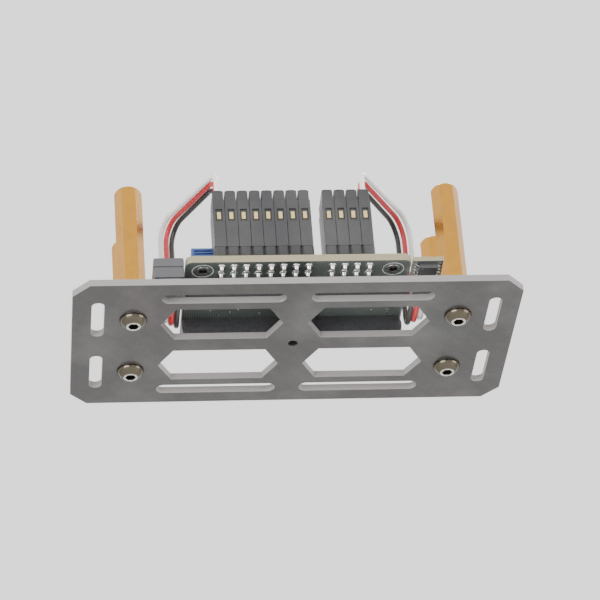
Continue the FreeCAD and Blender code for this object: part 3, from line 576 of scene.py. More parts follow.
def soft_gel(name, colour, dim, base, cell, depth):
    """Soft pad: gel skin or open foam cells, painted darker in the cell pits as their shade."""
    material, graph, sockets = new_material(name, Sheen_Weight=0.2)
    colour = shade(colour, dim)
    place = graph.place()
    cells = graph.add("ShaderNodeTexVoronoi", None, Vector=place, Scale=cell).outputs["Distance"]
    skin = group(graph, "moulded", Colour=opaque(colour), Grain=cell * 2, Patches=0.3)
    # The darker colour paints the shade in the cell pits, where the bump sinks.
    wall = opaque(shade(colour, 0.5))
    tint = graph.mix(graph.ramp(cells, 0.0, 0.6), wall, skin["Colour"])
    dress(graph, sockets, tint, base, skin["Roughness Shift"], cells, depth)
    return material


def wire_skin(name, colour):
    """Soft insulation with a faint dull film and rub marks along the wire."""
    material, graph, sockets = new_material(name, Coat_Weight=0.25, Coat_Roughness=0.25)
    skin = group(graph, "moulded", Colour=opaque(colour), Grain=4000.0, Patches=0.25)
    film = group(graph, "dust", Colour=skin["Colour"], Amount=0.22)
    shift = skin["Roughness Shift"]
    dress(graph, sockets, film["Colour"], 0.38, shift, skin["Height"], 0.01 * MM)
    return material


# Recipe, colour and the recipe's own values. A colour is the name of a setting, a value, or
# None for the record's colour. metal: roughness, dulling, streaks. moulded: roughness, coat,
# grain, bump depth. soft_gel: dimming, roughness, cell scale, bump depth. mottled: pale colour,
# stretch along Z, scale, swing in roughness, bump depth.
RECIPES = {
    "laminate_face": (laminate_face, "plate_colour"),
    "laminate_cut": (laminate_cut, "plate_colour"),
    # Screw domes: darkened steel that paints the dark reflections on the heads; the flat face keeps
    # the brighter steel colour as its lit copy.
    "screw": (metal, "screw_colour", 0.10, 0.35, 0.4),
    "screw_flat": (metal, COLOURS["screw_steel"], 0.16, 0.15, 0.8),
    # Nearly black metal painted into key sockets, eyelet bores, via holes and latch dimples as their
    # shade.
    "socket_dark": (metal, (0.05, 0.045, 0.035), 0.35, 0.6, 1.0),
    "gold_anodised": (metal, "standoff_colour", 0.26, 0.18, 1.0),
    "tin": (metal, None, 0.20, 0.25, 0.7),
    "solder": (metal, (0.72, 0.72, 0.71), 0.16, 0.35, 0.3),
    "gold_pin": (metal, None, 0.20, 0.12, 0.8),
    "sensor_lid": (metal, None, 0.28, 0.2, 1.2),
    "switch_cover": (metal, None, 0.30, 0.2, 1.2),
    "rotor_brass": (metal, None, 0.28, 0.3, 1.2),
    "can_aluminium": (metal, None, 0.30, 0.1, 1.2),
    "gel": (soft_gel, None, 0.4, 0.42, 1500.0, 0.00002),
    "foam": (soft_gel, None, 1.0, 0.75, 2600.0, 0.00008),
    "solder_mask": (solder_mask, "board_colour"),
    "board_edge": (mottled, (0.20, 0.17, 0.10), (0.42, 0.38, 0.25), 6.0, 2600.0, 0.25, 0.00001),
    "legend_ink": (mottled, (0.62, 0.62, 0.60), (0.85, 0.85, 0.83), 1.0, 6000.0, 0.2, 0.000004),
    "header_plastic": (moulded, None, 0.42),
    "shunt_plastic": (moulded, None, 0.30, 0.2),
    "plug_plastic": (moulded, "plug_colour", 0.40, 0.0, 5200.0, 0.00001),
    "well_shadow": (moulded, (0.004, 0.004, 0.004), 0.7),
    "case_plastic": (moulded, "case_colour", 0.45, 0.0, 4200.0, 0.00002),
    "white_plastic": (moulded, None, 0.42),
    "chip_epoxy": (moulded, None, 0.50, 0.0, 7000.0, 0.00001),
    "chip_dot": (moulded, (0.16, 0.16, 0.16), 0.6),
    "plunger": (moulded, None, 0.35),
    "trim_plastic": (moulded, None, 0.38),
    "light_lens": (moulded, None, 0.18, 0.6),
    "ceramic_cap": (moulded, None, 0.5, 0.0, 12000.0),
    "resistor": (moulded, None, 0.25, 0.4),
    "tantalum": (moulded, None, 0.45),
    "tantalum_band": (moulded, (0.28, 0.14, 0.04), 0.45),
    "can_band": (moulded, (0.02, 0.02, 0.025), 0.4),
    "wire_white": (wire_skin, None),
    "wire_red": (wire_skin, None),
    "wire_black": (wire_skin, None),
}
MATERIALS = {}


def looks():
    return bpy.context.scene.board_looks


def material_of(name):
    """Material by name; each is built when it is first asked for."""
    if name not in MATERIALS:
        recipe, colour, *values = RECIPES[name]
        if colour is None:
            colour = COLOURS[name]
        elif isinstance(colour, str):
            colour = getattr(looks(), colour)
        MATERIALS[name] = recipe(name, colour, *values)
    return MATERIALS[name]


# Settings that a user would change

def colour_setting(name, description, default):
    return bpy.props.FloatVectorProperty(name=name, description=description, subtype="COLOR",
                                         min=0.0, max=1.0, default=default)


class BoardLooks(bpy.types.PropertyGroup):
    plate_colour: colour_setting(
        "Plate", "Colour of the carrier plate's resin and cloth", (0.027, 0.0255, 0.025))
    cloth_pitch: bpy.props.FloatProperty(
        name="Cloth pitch", description="Width of one tow of the plate's cloth",
        subtype="DISTANCE", unit="LENGTH", min=0.0003, max=0.004, precision=5, default=0.0011)
    plate_edge: bpy.props.FloatProperty(
        name="Plate edge", description="Rounding of the plate's cut edges",
        subtype="DISTANCE", unit="LENGTH", min=0.0, max=0.0004, precision=5, default=0.00012)
    # The screws' colour is darkened to paint the dark reflections on their heads.
    screw_colour: colour_setting(
        "Screws", "Colour of the screws' dark plating", (0.11, 0.095, 0.07))
    standoff_colour: colour_setting(
        "Standoffs", "Colour of the anodised standoffs", (0.56, 0.27, 0.045))
    board_colour: colour_setting("Board", "Colour of the solder mask", COLOURS["board"])
    plug_colour: colour_setting("Plugs", "Colour of the plug housings", COLOURS["plug_plastic"])
    case_colour: colour_setting("Receiver", "Colour of the receiver case", COLOURS["case_plastic"])
    via_count: bpy.props.IntProperty(
        name="Vias", description="Plated through holes scattered over the board",
        min=0, max=300, default=90)


class StudioSettings(bpy.types.PropertyGroup):
    floor_colour: colour_setting("Floor", "Colour of the studio floor", (0.82, 0.82, 0.82))
    floor_drop: bpy.props.FloatProperty(
        name="Floor drop", description="How far the floor lies below the hanging board",
        subtype="DISTANCE", unit="LENGTH", min=0.0, max=2.0, default=0.42)
    room_light: bpy.props.FloatProperty(
        name="Room light", description="Strength of the even studio light",
        min=0.0, max=10.0, default=1.7)
    key_power: bpy.props.FloatProperty(
        name="Key light", description="Power of the large soft light under the board",
        subtype="POWER", min=0.0, max=200.0, default=9.0)
    lens: bpy.props.FloatProperty(
        name="Lens", description="Focal length of the camera",
        subtype="DISTANCE_CAMERA", min=10.0, max=500.0, default=180.0)


# Pieces

class BOARD_OT_stage(bpy.types.Operator):
    """Set up the floor, the room light, the soft lights and the camera below the board"""
    bl_idname = "board.stage"
    bl_label = "Studio"

    def execute(self, context):
        settings = context.scene.board_studio
        self.add_floor(settings)
        self.add_world(context.scene, settings)
        for name, spot, spread, share in (
            ("key_light", (-0.55, -0.75, -0.30), (0.7, 0.5), 1.0),
            ("fill_light", (0.75, -0.35, -0.10), (0.5, 0.5), 0.35),
            ("top_light", (0.25, 0.35, 0.80), (0.6, 0.6), 0.8),
        ):
            self.add_light(name, spot, spread, settings.key_power * share)
        self.add_camera(context.scene, settings)
        return {"FINISHED"}

    def add_floor(self, settings):
        part = bmesh.new()
        bmesh.ops.create_circle(part, cap_ends=True, segments=96, radius=2.4)
        bmesh.ops.translate(part, verts=part.verts, vec=(0, 0, -settings.floor_drop))
        mesh = bpy.data.meshes.new("floor")
        part.to_mesh(mesh)
        part.free()
        material, graph, sockets = new_material("floor_paint")
        cloud = graph.noise(graph.place(), 3.0, 3.0)
        dim = opaque(shade(settings.floor_colour, 0.97))
        graph.feed(sockets["Base Color"], graph.mix(cloud, dim, opaque(settings.floor_colour)))
        graph.feed(sockets["Roughness"], graph.plus(0.75, cloud, 0.1))
        mesh.materials.append(material)
        floor = bpy.data.objects.new("floor", mesh)
        bpy.context.scene.collection.objects.link(floor)

    def add_world(self, scene, settings):
        world = bpy.data.worlds.new("studio")
        world.use_nodes = True
        scene.world = world
        graph = Graph(world.node_tree)
        backdrop = world.node_tree.nodes["Background"]
        height = graph.axis(graph.add("ShaderNodeTexCoord").outputs["Generated"], "Z")
        overhead = graph.ramp(height, 0.70, 0.90)
        graph.feed(backdrop.inputs["Color"], graph.mix(overhead, (1, 1, 1, 1), (0.4, 0.4, 0.42, 1)))
        backdrop.inputs["Strength"].default_value = settings.room_light

    def add_light(self, name, spot, spread, power):
        data = bpy.data.lights.new(name, "AREA")
        data.shape = "RECTANGLE"
        data.size, data.size_y = spread
        data.energy = power
        light = bpy.data.objects.new(name, data)
        light.location = spot
        light.rotation_euler = (-Vector(spot)).to_track_quat("-Z", "Y").to_euler()
        bpy.context.scene.collection.objects.link(light)

    def add_camera(self, scene, settings):
        place = Vector((-0.0615, -0.5285, -0.3251))
        target = Vector((0.0015, -0.006, 0.0085))
        roll = math.radians(-4.5)
        forward = (target - place).normalized()
        right = forward.cross(Vector((0, 0, 1))).normalized()
        up = right.cross(forward)
        level_right = right * math.cos(roll) + up * math.sin(roll)
        level_up = up * math.cos(roll) - right * math.sin(roll)
        turn = Matrix((level_right, level_up, -forward)).transposed()
        data = bpy.data.cameras.new("camera")
        data.lens = settings.lens
        data.clip_start = 0.01
        camera = bpy.data.objects.new("camera", data)
        camera.matrix_world = Matrix.Translation(place) @ turn.to_4x4()
        scene.collection.objects.link(camera)
        scene.camera = camera


class BOARD_OT_carrier_plate(bpy.types.Operator):
    """Add the glossy laminate plate with its pale cut walls"""
    bl_idname = "board.carrier_plate"
    bl_label = "Carrier plate"

    def execute(self, context):
        part = node_mesh("carrier_plate", looks().plate_edge)
        mark_walls(part)
        pilot_reach = 1.3 * MM
        for face in part.faces:
            if face.calc_center_median().xy.length < pilot_reach:
                face.material_index = 0
        finish_piece("plate", part, ("laminate_face", "laminate_cut"), ("carrier_plate",),
                     "laminate")
        return {"FINISHED"}


class BOARD_OT_screws(bpy.types.Operator):
    """Add the button head screws: domes in darkened steel as painted reflection, a brighter flat
    face as the lit copy of the same steel, and key sockets painted dark as shade
    """
    bl_idname = "board.screws"
    bl_label = "Carrier screws"

    def execute(self, context):
        part = node_mesh("carrier_screws", 0.06 * MM, 40.0)
        heads = centres_of("carrier_screws")
        key_reach = 1.25 * MM
        key_from, key_to = 0.05 * MM, 1.2 * MM
        flat_to = 0.06 * MM
        for face in part.faces:
            spot = face.calc_center_median()
            in_key = nearest(spot, heads) < key_reach and key_from < spot.z < key_to
            # The key socket takes the dark shade paint, the flat face the brighter steel, and the
            # dome the darkened steel that paints its reflections.
            face.material_index = 1 if in_key else 2 if spot.z < flat_to else 0
        finish_piece("screws", part, ("screw", "socket_dark", "screw_flat"), ("carrier_screws",),
                     "screw_steel")
        return {"FINISHED"}


class BOARD_OT_standoffs(bpy.types.Operator):
    """Add the gold standoffs"""
    bl_idname = "board.standoffs"
    bl_label = "Standoffs"

    def execute(self, context):
        for corner in ("left_near", "left_far", "right_near", "right_far"):
            softened_node("standoff_" + corner, 0.1 * MM, "gold_anodised")
        return {"FINISHED"}


class BOARD_OT_pads(bpy.types.Operator):
    """Add the gel strips and foam pads, bulging a little under their load"""
    bl_idname = "board.pads"
    bl_label = "Gel and foam pads"

    def execute(self, context):
        for node, slot, waist in (
            ("gel_strip_near", "gel", 0.18 * MM),
            ("gel_strip_middle", "gel", 0.30 * MM),
            ("gel_block_far", "gel", 0.30 * MM),
            ("receiver_pad", "foam", 0.08 * MM),
            ("status_pad", "foam", 0.08 * MM),
        ):
            self.add_pad(node, slot, waist)
        return {"FINISHED"}

    def add_pad(self, node, slot, waist):
        """Stack of rounded outlines: full at mid height, drawn in where it is held."""
        low, high = corners(node)
        layers = 9
        rings = []
        for layer in range(layers):
            level = layer / (layers - 1)
            inset = waist * (2 * level - 1) ** 2
            rings.append(self.outline(low, high, inset, share_of(low.z, high.z, level)))
        part = bmesh.new()
        join_rings(part, rings)
        bmesh.ops.recalc_face_normals(part, faces=part.faces)
        pad = finish_piece(node + "_soft", part, (slot,), (node,))

    def outline(self, low, high, inset, height):
        """Rectangle with round corners, drawn in by an inset."""
        centre = middle(low, high)
        half = (high - low) / 2
        bend = min(half.x, half.y) * 0.35
        per_corner = 5
        ring = []
        for quarter in range(4):
            side_x = 1 if quarter in (0, 3) else -1
            side_y = 1 if quarter in (0, 1) else -1
            for step in range(per_corner):
                angle = math.pi / 2 * (quarter + step / (per_corner - 1))
                ring.append((
                    centre.x + side_x * (half.x - inset - bend) + bend * math.cos(angle),
                    centre.y + side_y * (half.y - inset - bend) + bend * math.sin(angle),
                    height,
                ))
        return ring


class BOARD_OT_circuit_board(bpy.types.Operator):
    """Add the control board with its mask, edge, vias, solder and printed legend"""
    bl_idname = "board.circuit_board"
    bl_label = "Circuit board"

    def execute(self, context):
        part = node_mesh("circuit_board", 0.05 * MM)
        mark_walls(part)
        finish_piece("control_board", part, ("solder_mask", "board_edge"), ("circuit_board",),
                     "board")
        low, high = corners("circuit_board")
        faces = ((high.z, 1), (low.z, -1))
        self.add_vias(low, high, faces)
        self.add_solder(low, high)
        self.add_legend(high.z, faces)
        self.add_eyelets()
        return {"FINISHED"}

    def add_eyelets(self):
        """Rolled eyelets: bright flanges, and a bore painted dark as its shade."""
        part = node_mesh("board_eyelets", 0.03 * MM)
        bore = 0.85 * MM
        centres = centres_of("board_eyelets")
        for face in part.faces:
            upright = abs(face.normal.z) < 0.5
            dark = upright and nearest(face.calc_center_median(), centres) < bore
            face.material_index = 1 if dark else 0
        finish_piece("eyelets", part, ("tin", "socket_dark"), ("board_eyelets",))

    def add_vias(self, low, high, faces):
        """Small plated rings on both faces, kept off the eyelets and pins, with a dark disc painted
        in each hole as its shade.
        """
        busy = centres_of("header_pins") + centres_of("board_eyelets")
        clear = 1.9 * MM
        margin = 1.0 * MM
        radii = (0.22 * MM, 0.28 * MM, 0.34 * MM)
        dice = random.Random(7)
        part = bmesh.new()
        made = 0
        while made < looks().via_count:
            spot = Vector((dice.uniform(low.x + margin, high.x - margin),
                           dice.uniform(low.y + margin, high.y - margin), 0))
            if nearest(spot, busy) < clear:
                continue
            wide = dice.choice(radii)
            for level, sign in faces:
                lip = INK * sign
                place = at_height(spot, level)
                profile = [(wide * 0.35, 0.0), (wide * 0.42, lip), (wide * 0.9, lip), (wide, 0.0)]
                add_lathe(part, profile, place, 12)
                # Dark disc in the ring: painted shade of the hole.
                add_lathe(part, [(0.0, lip * 0.5), (wide * 0.4, lip * 0.5)], place, 12, 1)
            made += 1
        finish_piece("board_vias", part, ("tin", "socket_dark"))

    def add_solder(self, low, high):
        """Shiny fillet round every pin tail under the board, and a trimmed tail tip."""
        tail = low.z - corners("header_pins")[0].z
        fillet = [(0.86, 0.0), (0.84, -0.06), (0.62, -0.22), (0.46, -0.45)]
        tip = [(0.40, 0.78), (0.30, 0.93), (0.0, 0.97)]
        below = [(radius * MM, height * MM) for radius, height in fillet]
        below += [(radius * MM, -tail * share) for radius, share in tip]
        ring = [(0.50, 0.0), (0.52, 0.03), (0.86, 0.03), (0.88, 0.0)]
        above = [(radius * MM, height * MM) for radius, height in ring]
        part = bmesh.new()
        for spot in centres_of("header_pins"):
            add_lathe(part, below, at_height(spot, low.z), 20)
            add_lathe(part, above, at_height(spot, high.z), 20)
        finish_piece("pin_solder", part, ("solder",), slot="tin", angle=60.0)

    def add_legend(self, top, faces):
        """Plain white outlines round the larger pieces, and rings round the eyelets."""
        gaps = {"processor": 1.3 * MM, "motion_sensor": 0.4 * MM, "compass_chip": 0.4 * MM}
        part = bmesh.new()
        for node in ("processor", "memory_chip", "regulator", "motion_sensor", "compass_chip",
                     "crystal", "pressure_sensor", "capacitor_base", "reset_switch", "boot_switch",
                     "jumper_base"):
            low, high = corners(node)
            gap = gaps.get(node, 0.3 * MM)
            self.add_outline(part, low.x - gap, low.y - gap, high.x + gap, high.y + gap, top)
        inner, outer = 2.1 * MM, 2.24 * MM
        for spot in centres_of("board_eyelets"):
            for level, sign in faces:
                lip = INK * sign
                ring = [(inner, 0.0), (inner, lip), (outer, lip), (outer, 0.0)]
                add_lathe(part, ring, at_height(spot, level), 40)
        finish_piece("board_legend", part, ("legend_ink",), slot="white_plastic")

    def add_outline(self, part, left, near, right, far, level):
        line = 0.14 * MM
        for first, second in (
            ((left, near), (right, near + line)),
            ((left, far - line), (right, far)),
            ((left, near + line), (left + line, far - line)),
            ((right - line, near + line), (right, far - line)),
        ):
            add_block(part, (*first, level), (*second, level + INK))


class BOARD_OT_headers(bpy.types.Operator):
    """Add the header bases with their notched ways, and the pointed gold pins"""
    bl_idname = "board.headers"
    bl_label = "Pin headers"

    def execute(self, context):
        for node in ("long_header_base", "short_header_base", "jumper_base"):
            self.add_base(node)
        self.add_pins()
        return {"FINISHED"}

    def add_base(self, node):
        low, high = corners(node)
        inside = [p for p in centres_of("header_pins")
                  if low.x < p.x < high.x and low.y < p.y < high.y]
        ways = len({round(p.x, 5) for p in inside})
        step = Vector(((high.x - low.x) / ways, 0, 0))
        foot = 0.4 * MM
        part = bmesh.new()
        for i in range(ways):
            start = at_height(low + step * i, low.z + foot)
            self.add_way(part, start, at_height(start + step, high.z), high.y)
        add_block(part, low + mm(0.3, 0.4), at_height(high, low.z + foot) + mm(-0.3, -0.4, 0.1))
        finish_piece(node + "_ways", part, ("header_plastic",), (node,))

    def add_way(self, target, low, high, far):
        """One way of the base, its corners cut at 45 degrees."""
        notch = 0.45 * MM
        outline = [
            (low.x + notch, low.y), (high.x - notch, low.y), (high.x, low.y + notch),
            (high.x, far - notch), (high.x - notch, far), (low.x + notch, far),
            (low.x, far - notch), (low.x, low.y + notch),
        ]
        part = bmesh.new()
        join_rings(part, [[(x, y, level) for x, y in outline] for level in (low.z, high.z)])
        soft_edges(part, 0.06 * MM, 50.0, 1)
        absorb(target, part)

    def add_pins(self):
        """Square pins, pointed at both ends."""
        part = bmesh.new()
        point = 0.5 * MM
        for low, high in solids_of("header_pins"):
            spot = middle(low, high)
            half = (high.x - low.x) / 2
            levels = ((low.z, 0.55), (low.z + point, 1.0), (high.z - point, 1.0), (high.z, 0.5))
            join_rings(part, [
                [(spot.x + x * half * share, spot.y + y * half * share, level)
                 for x, y in ((-1, -1), (1, -1), (1, 1), (-1, 1))]
                for level, share in levels
            ])
        finish_piece("pointed_pins", part, ("gold_pin",), ("header_pins",))


class BOARD_OT_plugs(bpy.types.Operator):
    """Add the plug housings, one crimp housing for each way, with latch windows"""
    bl_idname = "board.plugs"
    bl_label = "Plugs"

    def execute(self, context):
        for node in ("long_plug", "short_plug"):
            self.add_plug(node)
        return {"FINISHED"}

    def add_plug(self, node):
        low, high = corners(node)
        ways = round((high.x - low.x) / PIN_PITCH)
        step = (high.x - low.x) / ways
        gap = 0.03 * MM
        part = bmesh.new()
        for i in range(ways):
            self.add_housing(part, Vector((low.x + i * step + gap, low.y, low.z)),
                             Vector((low.x + (i + 1) * step - gap, high.y, high.z)))
        finish_piece(node + "_housings", part, ("plug_plastic", "gold_pin", "well_shadow"), (node,))

    def add_housing(self, target, low, high):
        """Crimp housing: body, narrow neck at the wire end and a latch window on each face."""
        edge = 0.08 * MM
        recess = 0.35 * MM
        rail = 0.55 * MM
        neck = high.z - 2.6 * MM
        window_low = low.z + 6.2 * MM
        window_high = window_low + 3.0 * MM
        spot = middle(low, high)
        inset = Vector((0, recess, 0))
        add_block(target, low + inset, at_height(high, neck) - inset, edge)
        for near, far in ((low.y, low.y + recess), (high.y - recess, high.y)):
            for bottom, top in ((low.z, window_low), (window_high, neck)):
                add_block(target, (low.x, near, bottom), (high.x, far, top), edge)
            for side in (low.x, high.x - rail):
                add_block(target, Vector((side, near, window_low)) - mm(z=0.1),
                          Vector((side + rail, far, window_high)) + mm(z=0.1), 0.03 * MM)
            latch_low = Vector((spot.x, near + recess * 0.25, window_low)) + mm(-0.4, 0, 0.6)
            latch_high = Vector((spot.x, far - recess * 0.05, window_high)) + mm(0.4, 0, -0.7)
            add_block(target, latch_low, latch_high, 0.05 * MM, 1)
        add_block(target, at_height(low, neck) + mm(0.12, 0.3, -0.2), high - mm(0.12, 0.3, 0.1),
                  0.12 * MM)
        for row in (-1, 0, 1):
            well = Vector((spot.x, spot.y + row * PIN_PITCH, high.z)) - mm(z=0.1)
            add_patch(target, well, (1.5, 1.9, 0.04), 2)


class BOARD_OT_leads(bpy.types.Operator):
    """Colour the white, red and black wires of the two leads"""
    bl_idname = "board.leads"
    bl_label = "Leads"

    def execute(self, context):
        for side in ("left", "right"):
            for colour in WIRES:
                mesh = frame["nodes"][f"lead_{side}_{colour}"].data
                mesh.materials.clear()
                mesh.materials.append(material_of("wire_" + colour))
                mesh.shade_smooth()
        return {"FINISHED"}


class BOARD_OT_receiver(bpy.types.Operator):
    """Add the receiver case with its parting seam, and dark blocks painted as the shade of its lead
    mouth and of the grooves in its label rest
    """
    bl_idname = "board.receiver"
    bl_label = "Receiver"

    def execute(self, context):
        low, high = corners("receiver_case")
        part = bmesh.new()
        seam = share_of(low.z, high.z, 0.55)
        edge = 0.35 * MM
        half_gap = mm(z=0.06)
        add_block(part, low, at_height(high, seam) - half_gap, edge)
        add_block(part, at_height(low, seam) + half_gap, high, edge)
        add_block(part, at_height(low, seam) + mm(0.3, 0.3, -0.8),
                  at_height(high, seam) + mm(-0.3, -0.3, 0.8))
        wires = [corners("lead_left_" + colour)[0] for colour in WIRES]
        mouth = Vector((min(wire.x for wire in wires), high.y, min(wire.z for wire in wires)))
        # Lead mouth: a dark block painted as the shade of the opening.
        add_block(part, mouth - mm(0.05, 0.6, 0.25), mouth + mm(3.6, -0.02, 1.35), 0.1 * MM, 1)
        # Label rest grooves: flush dark strips painted as the shade in the grooves.
        for i in range(4):
            start = Vector((low.x, low.y, high.z)) + mm(1.2 + i * 1.0, 0.6, -0.02)
            add_block(part, start, start + mm(0.45, 2.2, 0.02), 0.0, 1)
        finish_piece("receiver_shell", part, ("case_plastic", "header_plastic"), ("receiver_case",))
        return {"FINISHED"}


def add_chip(target, low, high, face=1, draft=0.12 * MM, dot=1):
    """Moulded chip body: two drafted halves, and a pin-one dot on the outer face."""
    seam = (low.z + high.z) / 2
    edge = 0.03 * MM
    add_block(target, low, at_height(high, seam), edge, sink=draft)
    add_block(target, at_height(low, seam), high, edge, taper=draft)
    size = min(high.x - low.x, high.y - low.y)
    margin = Vector((1, 1, 0)) * size * 0.17
    radius = size * 0.055
    lip = 0.01 * MM * face
    add_lathe(target, [(0.0, lip * 0.4), (radius * 0.7, lip * 0.5), (radius, lip), (radius, -lip)],
              at_height(low + margin, high.z if face > 0 else low.z), 20, dot)


def add_leg(target, foot_low, foot_high, body_low, body_high, face=1):
    """Gull-wing leg from the side of a chip down to its foot."""
    foot = middle(foot_low, foot_high)
    body = middle(body_low, body_high)
    away_x = foot.x - body.x if not body_low.x < foot.x < body_high.x else 0.0
    away_y = foot.y - body.y if not body_low.y < foot.y < body_high.y else 0.0
    out = Vector((away_x, away_y, 0)).normalized()
    across = Vector((-out.y, out.x, 0))
    reach = abs((foot_high - foot_low).dot(out))
    width = abs((foot_high - foot_low).dot(across))
    thick = 0.12 * MM
    base = foot_low.z + thick / 2 if face > 0 else foot_high.z - thick / 2
    start = foot - out * reach / 2
    shoulder = at_height(start, body.z)
    sole = at_height(start, base)
    path = [shoulder - out * 0.1 * MM, shoulder + out * reach * 0.22,
            sole + out * reach * 0.48, sole + out * reach]
    add_strip(target, path, width, thick, across)


class BOARD_OT_chips(bpy.types.Operator):
    """Add the moulded chips with their legs"""
    bl_idname = "board.chips"
    bl_label = "Chips"

    def execute(self, context):
        for body, legs, face in (
            ("processor", "processor_legs", 1),
            ("memory_chip", "memory_legs", 1),
            ("regulator", "regulator_legs", 1),
            ("status_chip", "status_chip_legs", -1),
        ):
            self.add_legged(body, legs, face)
        for node in ("motion_sensor", "compass_chip"):
            self.add_leadless(node)
        return {"FINISHED"}

    def add_legged(self, body, legs, face):
        low, high = corners(body)
        part = bmesh.new()
        add_chip(part, low, high, face)
        finish_piece(body + "_body", part, ("chip_epoxy", "chip_dot"), (body,))
        part = bmesh.new()
        for foot_low, foot_high in solids_of(legs):
            add_leg(part, foot_low, foot_high, low, high, face)
        finish_piece(legs + "_bent", part, ("tin",), (legs,))

    def add_leadless(self, node):
        """Flat sensor with a row of gold pads showing under each side."""
        low, high = corners(node)
        part = bmesh.new()
        add_chip(part, low, high, draft=0.04 * MM)
        count = 6
        for i in range(count):
            share = (i + 0.5) / count
            along_x = share_of(low.x, high.x, share)
            along_y = share_of(low.y, high.y, share)
            for x, y in ((along_x, low.y), (along_x, high.y), (low.x, along_y), (high.x, along_y)):
                add_patch(part, (x, y, low.z), (0.28, 0.28, 0.1), 2)
        finish_piece(node + "_body", part, ("chip_epoxy", "chip_dot", "gold_pin"), (node,))


class BOARD_OT_metal_cans(bpy.types.Operator):
    """Add the pressure sensor's vented lid and the crystal's can"""
    bl_idname = "board.metal_cans"
    bl_label = "Metal cans"

    def execute(self, context):
        self.add_pressure_lid()
        self.add_crystal()
        return {"FINISHED"}

    def add_pressure_lid(self):
        low, high = corners("pressure_sensor")
        part = bmesh.new()
        add_block(part, low, at_height(high, low.z + 0.3 * MM), 0.0, 1)
        add_block(part, low + mm(0.15, 0.15, 0.3), high - mm(0.15, 0.15), 0.18 * MM)
        vent = Vector((low.x, high.y, high.z)) + mm(1.1, -1.1)
        # Vent: a dark disc painted as the shade of the hole.
        radius, lip = 0.28 * MM, 0.01 * MM
        add_lathe(part, [(0.0, lip), (radius, lip), (radius, -0.1 * MM)], vent, 20, 1)
        finish_piece("pressure_lid", part, ("sensor_lid", "header_plastic"), ("pressure_sensor",))

    def add_crystal(self):
        """Drawn can that stands on a thin flange."""
        low, high = corners("crystal")
        centre = middle(low, high)
        flange = 0.25 * MM
        part = node_mesh("crystal", 0.22 * MM)
        for vert in part.verts:
            vert.co.x = share_of(centre.x, vert.co.x, 0.92)
            vert.co.y = share_of(centre.y, vert.co.y, 0.88)
        rim = raw_mesh("crystal")
        for vert in rim.verts:
            vert.co.z = low.z + (flange if vert.co.z > centre.z else 0)
        absorb(part, rim)
        finish_piece("crystal_can", part, ("sensor_lid",), ("crystal",))


